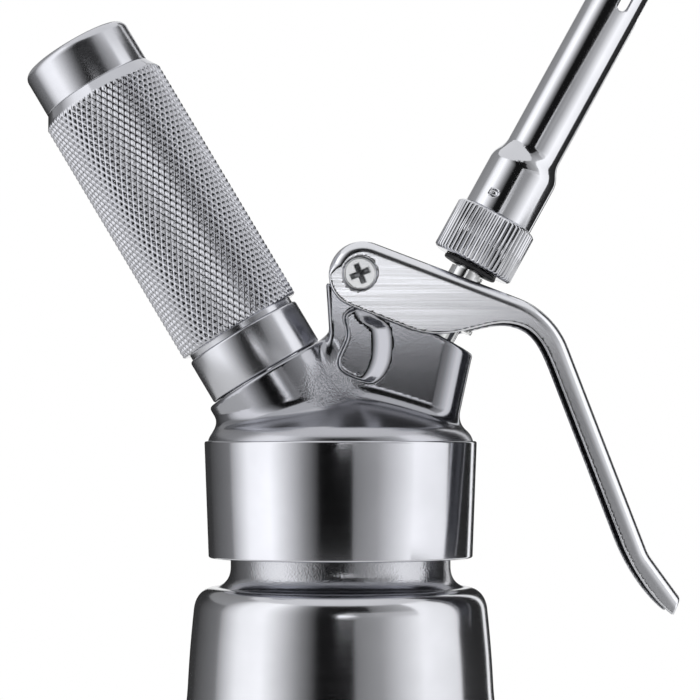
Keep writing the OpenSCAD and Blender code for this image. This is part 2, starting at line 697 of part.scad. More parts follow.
// Compression spring around the stem, in its pocket under the sleeve.
module valve_spring() {
    low = -spring_pocket + 0.1;
    high = -0.7;
    coil_r = stem_r + wire_r + 0.35;
    rings = 8;
    sides = 6;
    lead = 0.4;
    rise = high - low - 2 * wire_r;
    total = rings * spring_turns;
    route = [for (i = [0:total]) let (a = 360 * i / rings, f = i / total)
        [coil_r * cos(a), coil_r * sin(a), low + wire_r + rise * (f < lead / spring_turns ? 0
            : f > 1 - lead / spring_turns ? 1
            : (f * spring_turns - lead) / (spring_turns - 2 * lead))]];
    skin = [for (i = [0:total], k = [0:sides - 1]) let (a = 360 * i / rings, b = 360 * k / sides)
        route[i] + wire_r * [cos(b) * cos(a), cos(b) * sin(a), sin(b)]];
    gap = min([for (i = [0:total - rings]) norm(route[i + rings] - route[i]) - 2 * wire_r]);
    echo(least_gap_between_turns = gap);
    color("#7d8084") on_nozzle_axis() polyhedron(points = skin, faces = concat(
        [[for (k = [0:sides - 1]) k]],
        [for (i = [0:total - 1], k = [0:sides - 1])
            let (a = i * sides + k, b = i * sides + (k + 1) % sides)
            each [[a, a + sides, b + sides], [a, b + sides, b]]],
        [[for (k = [sides - 1:-1:0]) total * sides + k]]));
}

module stem_o_ring() {
    color("#2a2a2c") on_nozzle_axis() translate([0, 0, o_ring_z]) rotate_extrude()
        translate([stem_r + o_ring_wire_r + 0.03, 0]) circle(r = o_ring_wire_r, $fn = 24);
}

module valve_seal() {
    color("#2a2a2c") on_nozzle_axis() ring(seal_r, 3.05, seal_t, -seat_depth - seat_gap - seal_t);
}

module valve_nut() {
    color("#b59a54") on_nozzle_axis()
        difference() {
            translate([0, 0, -seat_depth - seat_gap - seal_t - 3.4]) cylinder(r = 6.2, h = 3.3, $fn = 6);
            translate([0, 0, -seat_depth - 10]) cylinder(r = 3.05, h = 10);
        }
}

// ---- Nozzle -------------------------------------------------------------------------------

nut_top = nut_base + nut_len;
adapter_top = nut_base + adapter_len;

// Threaded adapter on the stem's top, which the nozzle's nut screws onto.
module nozzle_adapter() {
    color("#b9bcbf") on_nozzle_axis() difference() {
        translate([0, 0, nut_base + turn_gap]) cylinder(r = adapter_r, h = adapter_top - nut_base);
        translate([0, 0, stem_top - over])
            cylinder(r = stem_tip_r + turn_gap, h = stem_tip_len + over + 2 * seat_gap);
        translate([0, 0, nut_base]) cylinder(r = stem_bore_r, h = adapter_len + over);
    }
}

module nozzle_seal() {
    color("#19191b") on_nozzle_axis()
        ring(ring_seal_r, stem_r + turn_gap, ring_seal_t - seat_gap, nut_base - ring_seal_t);
}

// Cross-section of the fluted nut.
module fluted_circle() {
    polygon([for (i = [0:4 * nut_flutes - 1]) let (a = 90 * i / nut_flutes, d = flute_d * (1 - abs(cos(a * nut_flutes / 2))))
        (nut_r - d) * [cos(a), sin(a)]]);
}

module nozzle_nut() {
    chamfer = 0.9;
    thread_r = adapter_r + thread_gap;
    color("#b7babd") on_nozzle_axis() difference() {
        intersection() {
            translate([0, 0, nut_base]) linear_extrude(height = nut_len) fluted_circle();
            rotate_extrude() polygon([[0, nut_base], [nut_r - chamfer, nut_base], [nut_r + 0.1, nut_base + chamfer],
                [nut_r + 0.1, nut_top - chamfer], [nut_r - chamfer, nut_top], [0, nut_top]]);
        }
        translate([0, 0, nut_base - over]) cylinder(r = thread_r, h = adapter_top - nut_base + over + 0.3);
        translate([0, 0, nut_base]) cylinder(r = nozzle_base_r - 1 + turn_gap, h = nut_len + over);
    }
}

// Long tube with a wide base and slits at its tip.
module nozzle_tube() {
    base_top = nut_top + nozzle_base_len;
    tip = nut_top + nozzle_len;
    bore = nozzle_r - nozzle_wall;
    plug_low = nut_base + 10.6;
    color("#d2d4d7") on_nozzle_axis() difference() {
        rotate_extrude() polygon([[bore, plug_low], [nozzle_base_r - 1, plug_low], [nozzle_base_r - 1, nut_top],
            [nozzle_base_r, nut_top], [nozzle_base_r, base_top], [nozzle_r, base_top + nozzle_taper],
            [nozzle_r, tip - 0.3], [nozzle_r - 0.3, tip], [bore, tip]]);
        for (i = [0:slit_count - 1])
            rotate([0, 0, -74 + 360 * i / slit_count]) {
                translate([0, -slit_w / 2, tip - slit_len]) cube([nozzle_r + 2, slit_w, slit_len + over]);
                translate([0, 0, tip - slit_len]) rotate([0, 90, 0]) cylinder(d = slit_w, h = nozzle_r + 2);
            }
    }
}

bottle();
head_gasket();
head();
pin_holder();
piercing_pin();
charger_seal();
check_valve();
stem_o_ring();
valve_spring();
pivot_screw();
pivot_barrel();
charger();
holder_shell();
holder_grip();
holder_cap();
lever();
valve_stem();
push_sleeve();
valve_seal();
valve_nut();
nozzle_adapter();
nozzle_seal();
nozzle_nut();
nozzle_tube();
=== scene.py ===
# A steel cream whipper: bottle, cast head with a squeeze lever, gas charger holder and slotted nozzle.
import math

import bmesh
import bpy
import numpy as np
from mathutils import Matrix, Vector


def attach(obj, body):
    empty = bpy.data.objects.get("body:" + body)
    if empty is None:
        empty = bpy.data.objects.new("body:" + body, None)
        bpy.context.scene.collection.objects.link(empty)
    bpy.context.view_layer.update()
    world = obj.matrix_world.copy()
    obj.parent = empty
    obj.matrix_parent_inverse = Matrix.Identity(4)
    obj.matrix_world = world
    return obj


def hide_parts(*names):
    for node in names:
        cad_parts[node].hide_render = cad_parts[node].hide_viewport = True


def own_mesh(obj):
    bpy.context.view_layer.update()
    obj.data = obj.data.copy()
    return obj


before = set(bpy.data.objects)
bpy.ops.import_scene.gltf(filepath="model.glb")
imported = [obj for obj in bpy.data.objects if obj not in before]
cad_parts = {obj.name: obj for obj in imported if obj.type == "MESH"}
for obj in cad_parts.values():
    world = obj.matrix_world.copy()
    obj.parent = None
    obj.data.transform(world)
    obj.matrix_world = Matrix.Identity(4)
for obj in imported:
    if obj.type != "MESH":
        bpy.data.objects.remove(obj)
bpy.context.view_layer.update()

# --- Camera -----------------------------------------------
# A long lens, level with the collar's top edge and tipped up a little towards the lever.
EYE = Vector((0.00235, -0.700, 0.1873))
AIM = Vector((0.00235, 0.0, 0.21005))
PICTURE_WIDTH = 700
FOCAL_PIXELS = 2800

camera_data = bpy.data.cameras.new("camera")
camera_data.sensor_width = 36.0
camera_data.lens = camera_data.sensor_width * FOCAL_PIXELS / PICTURE_WIDTH
camera = bpy.data.objects.new("camera", camera_data)
camera.location = EYE
camera.rotation_euler = (AIM - EYE).to_track_quat("-Z", "Y").to_euler()
bpy.context.scene.collection.objects.link(camera)
bpy.context.scene.camera = camera
bpy.context.scene.view_settings.view_transform = "Standard"


# --- Studio -----------------------------------------------
# A white light tent with upright softboxes and black cards round the dispenser. They show only as
# reflections in the steel, the way a product photographer draws its bright and dark stripes.
def linear(hex_colour):
    """An sRGB hex colour as linear red, green, blue and alpha."""
    parts = [int(hex_colour[i:i + 2], 16) / 255 for i in (1, 3, 5)]
    return [c / 12.92 if c <= 0.04045 else ((c + 0.055) / 1.055) ** 2.4 for c in parts] + [1.0]


def add(tree, kind, settings=None, links=None):
    """Adds a node to a tree, sets its fields and sockets by name, and links its sockets from others'."""
    node = tree.nodes.new(kind)
    for name, value in (settings or {}).items():
        if isinstance(name, int) or name in node.inputs:
            node.inputs[name].default_value = value
        else:
            setattr(node, name, value)
    for name, source in (links or {}).items():
        tree.links.new(source, node.inputs[name])
    return node


def new_material(name):
    """An empty material and its node tree."""
    material = bpy.data.materials.new(name)
    material.use_nodes = True
    material.node_tree.nodes.clear()
    return material, material.node_tree


def add_object(name, mesh, material=None):
    """A mesh as an object in the scene."""
    thing = bpy.data.objects.new(name, mesh)
    bpy.context.scene.collection.objects.link(thing)
    if material:
        mesh.materials.append(material)
    return thing


TENT_RADIUS = 0.5
TENT_LOW = -0.15
TENT_HIGH = 0.75

# Each panel: its start and end in degrees round from the camera to the right, the heights of its
# lower and upper edges, and its brightness at the start and the end, where the tent's cloth is 1.
# The dark front card ends at FRONT_TOP, so that the lever's cheek shows the light above it.
FRONT_TOP = 0.2415
PANELS = [
    (-170, -140, TENT_LOW, 0.34, 0.03, 0.06),
    (-140, -103, TENT_LOW, 0.34, 0.08, 0.3),
    (-170, -103, 0.34, TENT_HIGH, 0.3, 0.45),
    (-103, -82, TENT_LOW, TENT_HIGH, 0.5, 1.5),
    (-82, -60, TENT_LOW, TENT_HIGH, 1.5, 1.7),
    (-60, -30, TENT_LOW, TENT_HIGH, 1.7, 0.4),
    (-30, -17, TENT_LOW, TENT_HIGH, 0.4, 0.02),
    (-17, 10, TENT_LOW, FRONT_TOP, 0.003, 0.003),
    (10, 30, TENT_LOW, FRONT_TOP, 0.3, 0.5),
    (30, 62, TENT_LOW, FRONT_TOP, 0.5, 1.5),
    (-17, -2, FRONT_TOP, TENT_HIGH, 0.01, 0.01),
    (-2, 4, FRONT_TOP, 0.262, 4.2, 3.4),
    (-2, 4, 0.262, 0.3, 1.3, 1.0),
    (-2, 4, 0.3, TENT_HIGH, 0.01, 0.01),
    (4, 14, FRONT_TOP, 0.268, 3.0, 0.6),
    (4, 14, 0.268, 0.33, 1.0, 0.3),
    (14, 62, FRONT_TOP, 0.33, 0.4, 1.0),
    (4, 24, 0.34, TENT_HIGH, 0.01, 0.02),
    (24, 62, 0.34, TENT_HIGH, 0.25, 0.7),
    (62, 100, TENT_LOW, 0.05, 0.6, 0.5),
    (62, 100, 0.05, TENT_HIGH, 1.6, 1.3),
    (100, 142, 0.06, TENT_HIGH, 0.05, 0.02),
    (142, 150, TENT_LOW, TENT_HIGH, 1.4, 1.4),
    (150, 172, TENT_LOW, TENT_HIGH, 0.03, 0.03),
]


def upright_panel(start, end, low, high, first, last):
    """One panel of the tent, curved round the dispenser, graded and seen only in reflections."""
    steps = max(2, int(abs(end - start) / 3))
    verts, levels = [], []
    for i in range(steps + 1):
        a = math.radians(start + (end - start) * i / steps)
        for z in (low, high):
            verts.append((TENT_RADIUS * math.sin(a), -TENT_RADIUS * math.cos(a), z))
            levels.append(first + (last - first) * i / steps)
    faces = [(2 * i, 2 * i + 2, 2 * i + 3, 2 * i + 1) for i in range(steps)]
    name = f"panel_{start}_{low}"
    mesh = bpy.data.meshes.new(name)
    mesh.from_pydata(verts, [], faces)
    mesh.attributes.new("level", "FLOAT", "POINT").data.foreach_set("value", levels)
    material, tree = new_material(name)
    level = add(tree, "ShaderNodeAttribute", {"attribute_name": "level"})
    glow = add(tree, "ShaderNodeEmission", {"Color": (1, 1, 1, 1)}, {"Strength": level.outputs["Fac"]})
    add(tree, "ShaderNodeOutputMaterial", links={"Surface": glow.outputs[0]})
    panel = add_object(name, mesh, material)
    panel.visible_camera = False
    panel.visible_shadow = False
    panel.visible_diffuse = False


for panel_row in PANELS:
    upright_panel(*panel_row)

FLOOR_RADIUS = 0.6
floor_mesh = bpy.data.meshes.new("floor")
floor_rim = [(FLOOR_RADIUS * math.cos(a), FLOOR_RADIUS * math.sin(a), -0.0002)
             for a in np.linspace(0, 2 * math.pi, 96, endpoint=False)]
floor_mesh.from_pydata(floor_rim, [], [tuple(range(len(floor_rim)))])
floor_material, floor_tree = new_material("pale_paper_sweep")
paper = add(floor_tree, "ShaderNodeBsdfPrincipled", {"Base Color": linear("#eeeeec"), "Roughness": 0.7})
add(floor_tree, "ShaderNodeOutputMaterial", links={"Surface": paper.outputs[0]})
add_object("floor", floor_mesh, floor_material)

world = bpy.data.worlds.new("tent")
world.use_nodes = True
world.node_tree.nodes["Background"].inputs["Color"].default_value = (1, 1, 1, 1)
world.node_tree.nodes["Background"].inputs["Strength"].default_value = 1.0
bpy.context.scene.world = world


# --- Bottle -----------------------------------------------
# Deep-drawn stainless steel, brushed round on a lathe, with a thick neck that carries the thread.
# Blasting under the collar leaves the neck a dull satin.
MM = 0.001


def curve(a, b, c, d, steps=12):
    """Points of a cubic curve after its first point."""
    a, b, c, d = (np.array(p, float) for p in (a, b, c, d))
    points = [(1 - t) ** 3 * a + 3 * t * (1 - t) ** 2 * b + 3 * t * t * (1 - t) * c + t ** 3 * d
              for t in np.arange(1, steps + 1) / steps]
    return [tuple(point) for point in points]


def rounded(corners, steps=5):
    """An outline of (radius, height, rounding) corners, each rounded off by that much."""
    points = []
    for i, corner in enumerate(corners):
        here = np.array(corner[:2], float)
        reach = corner[2] if len(corner) > 2 else 0
        if not reach or i in (0, len(corners) - 1):
            points.append(tuple(here))
            continue
        before = np.array(corners[i - 1][:2], float) - here
        after = np.array(corners[i + 1][:2], float) - here
        start = here + before / np.linalg.norm(before) * reach
        end = here + after / np.linalg.norm(after) * reach
        points.append(tuple(start))
        points += curve(start, start + (here - start) * 0.55, end + (here - end) * 0.55, end, steps)
    return points


def turned(name, outline, material, place=Matrix.Identity(4), turns=144, wave=None):
    """A piece turned on a lathe from its outline in millimetres. wave(angle, radius, height) may
    change the radius as a knurling or fluting tool does."""
    angles = np.linspace(0, 2 * math.pi, turns, endpoint=False)
    verts, rings = [], []
    for r, z in outline:
        if r < 1e-6:
            rings.append([len(verts)])
            verts.append((0, 0, z * MM))
            continue
        rings.append(list(range(len(verts), len(verts) + turns)))
        radii = wave(angles, r, z) if wave else np.full(turns, r)
        verts += [(q * math.cos(a) * MM, q * math.sin(a) * MM, z * MM) for q, a in zip(radii, angles)]
    faces = []
    closed = len(rings[0]) > 1 and len(rings[-1]) > 1
    pairs = list(zip(rings, rings[1:])) + ([(rings[-1], rings[0])] if closed else [])
    for low, high in pairs:
        for i in range(turns):
            j = (i + 1) % turns
            if len(low) == 1 and len(high) > 1:
                faces.append((low[0], high[j], high[i]))
            elif len(high) == 1 and len(low) > 1:
                faces.append((low[i], low[j], high[0]))
            elif len(low) > 1:
                faces.append((low[i], low[j], high[j], high[i]))
    mesh = bpy.data.meshes.new(name)
    mesh.from_pydata(verts, [], faces)
    work = bmesh.new()
    work.from_mesh(mesh)
    bmesh.ops.recalc_face_normals(work, faces=work.faces)
    work.to_mesh(mesh)
    work.free()
    mesh.shade_smooth()
    mesh.set_sharp_from_angle(angle=math.radians(50))
    piece = add_object(name, mesh, material)
    piece.matrix_world = place
    return piece


def fit(piece, body, slot, *nodes):
    """Puts a finished piece on its body and in place of its solids. Its slot is not used."""
    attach(piece, body)
    if nodes:
        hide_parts(*nodes)


# Stainless steel brushed round on a lathe: fine rings, faint clouds about 17 mm wide, and highlights
# drawn out across the rings. Above blasted_z it is blasted with grit instead, for a duller skin. The
# pits are drawn 0.5 mm wide, about four times their real size, so that they show.
CLOUDS_PER_M, PITS_PER_M = 60.0, 1900.0
BLASTED_HEX, BLASTED_ROUGHNESS, PIT_DEPTH = "#b2b3b8", 0.18, 0.06


def turned_steel(name, hex_colour, roughness, ring_mm, ring_depth, stretch, patch=0.06, blasted_z=None):
    material, tree = new_material(name)
    where = add(tree, "ShaderNodeTexCoord").outputs["Object"]
    rings = add(tree, "ShaderNodeMapping", {"Scale": (2, 2, 1 / (ring_mm * MM))}, {"Vector": where})
    lines = add(tree, "ShaderNodeTexNoise", {"Scale": 1.0, "Detail": 4.0, "Roughness": 0.65},
                {"Vector": rings.outputs[0]})
    clouds = add(tree, "ShaderNodeTexNoise", {"Scale": CLOUDS_PER_M, "Detail": 3.0}, {"Vector": where})
    gloss = add(tree, "ShaderNodeMapRange",
                {"From Min": 0.3, "From Max": 0.7, "To Min": roughness - patch, "To Max": roughness + patch},
                {"Value": lines.outputs["Fac"]})
    shade = add(tree, "ShaderNodeMapRange", {"From Min": 0.3, "From Max": 0.7, "To Min": 0.9, "To Max": 1.0},
                {"Value": clouds.outputs["Fac"]})
    tint = add(tree, "ShaderNodeMix",
               {"data_type": "RGBA", "blend_type": "MULTIPLY", 0: 1.0, 6: linear(hex_colour)},
               {7: shade.outputs[0]})
    bump = add(tree, "ShaderNodeBump", {"Strength": 1.0, "Distance": ring_depth * MM},
               {"Height": lines.outputs["Fac"]})
    if blasted_z:
        height = add(tree, "ShaderNodeSeparateXYZ", links={0: where})
        blasted = add(tree, "ShaderNodeMapRange",
                      {"From Min": (blasted_z - 1.5) * MM, "From Max": (blasted_z + 1) * MM},
                      {"Value": height.outputs["Z"]})
        grains = add(tree, "ShaderNodeTexNoise", {"Scale": PITS_PER_M, "Detail": 2.0}, {"Vector": where})
        pits = add(tree, "ShaderNodeMath", {"operation": "MULTIPLY"},
                   {0: grains.outputs["Fac"], 1: blasted.outputs[0]})
        bump = add(tree, "ShaderNodeBump", {"Strength": 1.0, "Distance": PIT_DEPTH * MM},
                   {"Height": pits.outputs[0], "Normal": bump.outputs[0]})
        gloss = add(tree, "ShaderNodeMix", {3: BLASTED_ROUGHNESS},
                    {0: blasted.outputs[0], 2: gloss.outputs[0]})
        tint = add(tree, "ShaderNodeMix", {"data_type": "RGBA", 7: linear(BLASTED_HEX)},
                   {0: blasted.outputs[0], 6: tint.outputs[2]})
    along = add(tree, "ShaderNodeTangent", {"direction_type": "RADIAL", "axis": "Z"})
    steel = add(tree, "ShaderNodeBsdfPrincipled",
                {"Metallic": 1.0, "Anisotropic": stretch, "Anisotropic Rotation": 0.25},
                {"Base Color": tint.outputs[2], "Roughness": gloss.outputs[0], "Normal": bump.outputs[0],
                 "Tangent": along.outputs[0]})
    add(tree, "ShaderNodeOutputMaterial", links={"Surface": steel.outputs[0]})
    return material


BODY_R, BASE_EDGE_R, WALL = 42.0, 11.0, 1.2
WAIST_R, WAIST_Z, CREST_R, CREST_Z = 38.0, 127.0, 36.6, 145.0
NECK_R, NECK_START_Z, NECK_TOP_Z, NECK_WALL = 27.4, 156.0, 183.0, 2.2
THREAD_PITCH, THREAD_DEPTH, THREAD_ROWS = 4.0, 0.45, 0.35
THREAD_LOW_Z, THREAD_TOP_Z, RUN_OUT = 160, 181, 1.5


def bottle_side(inset):
    """The bottle's side from the base to the neck, set in by the sheet's thickness for the inside."""
    r, w, c, n = BODY_R - inset, WAIST_R - inset, CREST_R - inset, NECK_R - inset
    top = CREST_Z + 6 - inset
    corner = [(BODY_R - BASE_EDGE_R + (BASE_EDGE_R - inset) * math.cos(a),
               BASE_EDGE_R + (BASE_EDGE_R - inset) * math.sin(a))
              for a in np.linspace(-math.pi / 2, 0, 14)]
    return (corner + [(r, 92)]
            + curve((r, 92), (r, 108), (w + 0.6, WAIST_Z - 12), (w, WAIST_Z), 24)
            + curve((w, WAIST_Z), (w - 0.4, WAIST_Z + 8), (c + 0.5, CREST_Z - 5), (c, CREST_Z))
            + curve((c, CREST_Z), (c - 0.3, CREST_Z + 4.5), (c - 3, top), (n + 3.4, top), 14)
            + curve((n + 3.4, top), (n + 1.6, CREST_Z + 6.6), (n, NECK_START_Z - 3), (n, NECK_START_Z), 12))


inside = bottle_side(WALL)
neck_rim = rounded([(NECK_R, THREAD_TOP_Z), (NECK_R, NECK_TOP_Z, 0.8),
                    (NECK_R - NECK_WALL, NECK_TOP_Z, 0.8), (NECK_R - NECK_WALL, NECK_START_Z + 1)])
neck_side = [(NECK_R, z) for z in np.arange(NECK_START_Z + 1, THREAD_TOP_Z, THREAD_ROWS)]


def neck_thread(angles, r, z):
    """Round thread on the neck, fading out at both ends."""
    if r != NECK_R or not THREAD_LOW_Z < z < THREAD_TOP_Z:
        return np.full(len(angles), r)
    fade = min(1, (z - THREAD_LOW_Z) / RUN_OUT, (THREAD_TOP_Z - z) / RUN_OUT)
    return r - THREAD_DEPTH * fade * (0.5 + 0.5 * np.cos(2 * math.pi * z / THREAD_PITCH - angles))


# Light grey, with a soft edge between the dark stripe in the middle and the bright ones beside it.
BLASTED_FROM_Z = 152.0
bottle_steel = turned_steel("brushed_drawn_stainless", "#c6c7cc", 0.15, 0.3, 0.0012, 0.25, 0.05,
                            BLASTED_FROM_Z)
dished_base = [(0, 2.5), (25, 2.5), (27, 2.0), (28.4, 0.6), (29.2, 0.0)]
base_inside = [(28, 1.4), (25, 3.7), (0, 3.7)]
bottle_outline = dished_base + bottle_side(0) + neck_side + neck_rim + inside[::-1] + base_inside
bottle = turned("bottle_body", bottle_outline, bottle_steel, turns=192, wave=neck_thread)
fit(bottle, "bottle", "brushed_bottle", "bottle")


# --- Head: collar -----------------------------------------
# Turned stainless collar that screws onto the neck, with the round thread inside and a flat ceiling
# that presses on the silicone ring. It is welded to the cast top and brushed round with it.
COLLAR_Z, COLLAR_LOW_Z, CEILING_Z = 187.3, 158.3, 186.3
COLLAR_TOP_R, COLLAR_LOW_R, COLLAR_BORE_R, HOLLOW_R = 34.0, 32.9, 28.0, 20.0
COLLAR_THREAD_DEPTH, COLLAR_THREAD_TOP_Z, COLLAR_RUN_OUT = 0.25, 184, 2


def collar_thread(angles, r, z):
    """Shallow round thread in the collar's bore, of the neck's hand and pitch, with room to turn."""
    if r != COLLAR_BORE_R or z > COLLAR_THREAD_TOP_Z:
        return np.full(len(angles), r)
    fade = min(1, (z - COLLAR_LOW_Z) / COLLAR_RUN_OUT, (COLLAR_THREAD_TOP_Z - z) / COLLAR_RUN_OUT)
    ridge = 0.5 - 0.5 * np.cos(2 * math.pi * z / THREAD_PITCH - angles)
    return r - COLLAR_THREAD_DEPTH * fade * ridge


collar_bore = [(COLLAR_BORE_R, z) for z in np.arange(CEILING_Z - 0.2, COLLAR_LOW_Z + 0.6, -THREAD_ROWS)]
collar_outline = ([(HOLLOW_R, COLLAR_Z - 0.2), (HOLLOW_R, CEILING_Z), (COLLAR_BORE_R, CEILING_Z)]
                  + collar_bore + [(COLLAR_BORE_R + 0.5, COLLAR_LOW_Z)]
                  + rounded([(30, COLLAR_LOW_Z), (COLLAR_LOW_R, COLLAR_LOW_Z, 0.5),
                             (COLLAR_TOP_R, COLLAR_Z, 0.6), (32, COLLAR_Z)]))
# Brushed finer than the bottle, so that its stripes are crisper.
collar_steel = turned_steel("brushed_turned_collar", "#c9cad0", 0.13, 0.22, 0.001, 0.25, 0.03)
collar = turned("head_collar", collar_outline, collar_steel, turns=192, wave=collar_thread)
fit(collar, "head", "cast_head")


# --- Head: casting ----------------------------------------
# Investment-cast stainless top in one with the collar: dome, boss for the charger, and the block
# with the lever's lug and the valve's tower. Blasted with fine grit, so that it shines softly.
def meet(a, b, r):
    """Common part of two distance fields, with its edge rounded to radius r."""
    return np.minimum(-r, np.maximum(a, b)) + np.hypot(np.maximum(r + a, 0), np.maximum(r + b, 0))


def join(a, b, r):
    """Both distance fields as one, with a fillet of radius r where they meet."""
    return np.maximum(r, np.minimum(a, b)) - np.hypot(np.maximum(r - a, 0), np.maximum(r - b, 0))


def outline_field(points, x, z):
    """Signed distance to a closed outline in the x-z plane, negative inside."""
    near, inside = np.inf, False
    for (ax, az), (bx, bz) in zip(points, points[1:] + points[:1]):
        ex, ez = bx - ax, bz - az
        length = ex * ex + ez * ez
        if length < 1e-12:
            continue
        t = np.clip(((x - ax) * ex + (z - az) * ez) / length, 0, 1)
        near = np.minimum(near, (x - ax - t * ex) ** 2 + (z - az - t * ez) ** 2)
        if ez:
            inside = inside ^ (((az > z) != (bz > z)) & (x < ax + (z - az) * ex / ez))
    return np.sqrt(near) * np.where(inside, -1, 1)


def slope_of(field, points, h=0.02):
    """Value and gradient of a field at points."""
    x, y, z = points.T
    gradient = [field(x + h, y, z) - field(x - h, y, z), field(x, y + h, z) - field(x, y - h, z),
                field(x, y, z + h) - field(x, y, z - h)]
    return field(x, y, z), np.stack(gradient, 1) / (2 * h)


def skin(name, field, low, high, step, material, place=Matrix.Identity(4)):
    """A cast or pressed piece as the zero surface of its distance field, all in millimetres. Each
    cell that the surface crosses gets one point, moved onto the surface and given its true normal."""
    axes = [np.arange(a, b + step, step) for a, b in zip(low, high)]
    grid = field(*np.ix_(*axes)) < 0
    cells = [n - 1 for n in grid.shape]
    count = sum(grid[i:i + cells[0], j:j + cells[1], k:k + cells[2]].astype(int)
                for i in (0, 1) for j in (0, 1) for k in (0, 1))
    crossed = np.argwhere((count > 0) & (count < 8))
    number = np.full(cells, -1)
    number[tuple(crossed.T)] = np.arange(len(crossed))
    points = np.array(low) + (crossed + 0.5) * step
    for _ in range(8):
        value, gradient = slope_of(field, points)
        size = np.maximum((gradient ** 2).sum(1), 0.05)
        points -= (np.clip(value, -step / 2, step / 2) / size)[:, None] * gradient
    faces = []
    for axis in range(3):
        solid, numbers = np.moveaxis(grid, axis, 0), np.moveaxis(number, axis, 0)
        i, j, k = np.nonzero(solid[1:, 1:-1, 1:-1] != solid[:-1, 1:-1, 1:-1])
        ring = np.stack([numbers[i, j, k], numbers[i, j + 1, k],
                         numbers[i, j + 1, k + 1], numbers[i, j, k + 1]], 1)
        out = solid[i, j + 1, k + 1] ^ (axis == 1)
        faces += np.where(out[:, None], ring, ring[:, ::-1]).tolist()
    mesh = bpy.data.meshes.new(name)
    mesh.from_pydata((points * MM).tolist(), [], faces)
    mesh.shade_smooth()
    _, gradient = slope_of(field, points)
    mesh.normals_split_custom_set_from_vertices(
        (gradient / np.maximum(np.linalg.norm(gradient, axis=1), 1e-6)[:, None]).tolist())
    piece = add_object(name, mesh, material)
    piece.matrix_world = place
    return piece


BOSS_CENTRE, BOSS_LEAN, BOSS_R, STUB_R = (-18.3, 204.3), math.radians(30.85), 16.9, 13.1
TOWER_CENTRE, NOZZLE_LEAN = (23.3, 214.2), math.radians(28.8)
PIVOT = (4.8, 228.6)
BLOCK_HALF, BLOCK_END_X, BLOCK_END_Z, BLOCK_END_LEAN = 8.4, 33.05, 208.1, 0.217
CAST_FOOT_Z, HOLLOW_TOP_Z = COLLAR_Z - 0.75, 189
DOME_APEX_Z, DOME_SLOPE, DOME_R = 201.1, math.radians(18.95), 33.2
SPRING_HOLE_R, SPRING_HOLE_D, STEM_HOLE_R = 6.1, 9, 4.45
GROOVE_R, GROOVE_MIDDLE, GROOVE_HALF = 5.9, -12.8, 1.2
SEAT_WELL_R, SEAT_DEPTH, CHARGER_HOLE_R, PIVOT_HOLE_R = 8.1, 24, 5.2, 3.05


def along_axis(centre, lean, x, z):
    """Distances along and across an axis that leans to the right, measured from its centre."""
    dx, dz = x - centre[0], z - centre[1]
    return dx * math.sin(lean) + dz * math.cos(lean), dx * math.cos(lean) - dz * math.sin(lean)


def arc(centre, r, start, end, steps):
    """Points of an arc in the x-z plane, in degrees."""
    return [(centre[0] + r * math.cos(math.radians(a)), centre[1] + r * math.sin(math.radians(a)))
            for a in np.linspace(start, end, steps + 1)]


def smooth_ring(points, steps=5):
    """Smooth closed curve through a few points."""
    ring = []
    for i in range(len(points)):
        a, b, c, d = (np.array(points[(i + k) % len(points)]) for k in (-1, 0, 1, 2))
        ring += curve(b, b + (c - a) / 6, c - (d - b) / 6, c, steps)
    return ring


BLOCK_SIDE = ([(-2.8, 186), (-2.8, 214.2), (-3.6, 226.4)] + arc(PIVOT, 6, 207, 0, 12)
              + [(12.3, 220.2), (15.4, 218.5), (33.3, 208.7), (33.05, 208.0), (29.35, 191.05), (28.3, 186)])
POCKET_SIDE = smooth_ring([(1.3, 218.6), (1.7, 213.2), (-0.6, 207.2), (1.2, 203.9), (8.2, 202),
                           (11.9, 206.6), (12.2, 214.6), (8.9, 217.6), (6.5, 220.5)])
POCKET_DEPTH, POCKET_SLANT = 2.4, 1.65


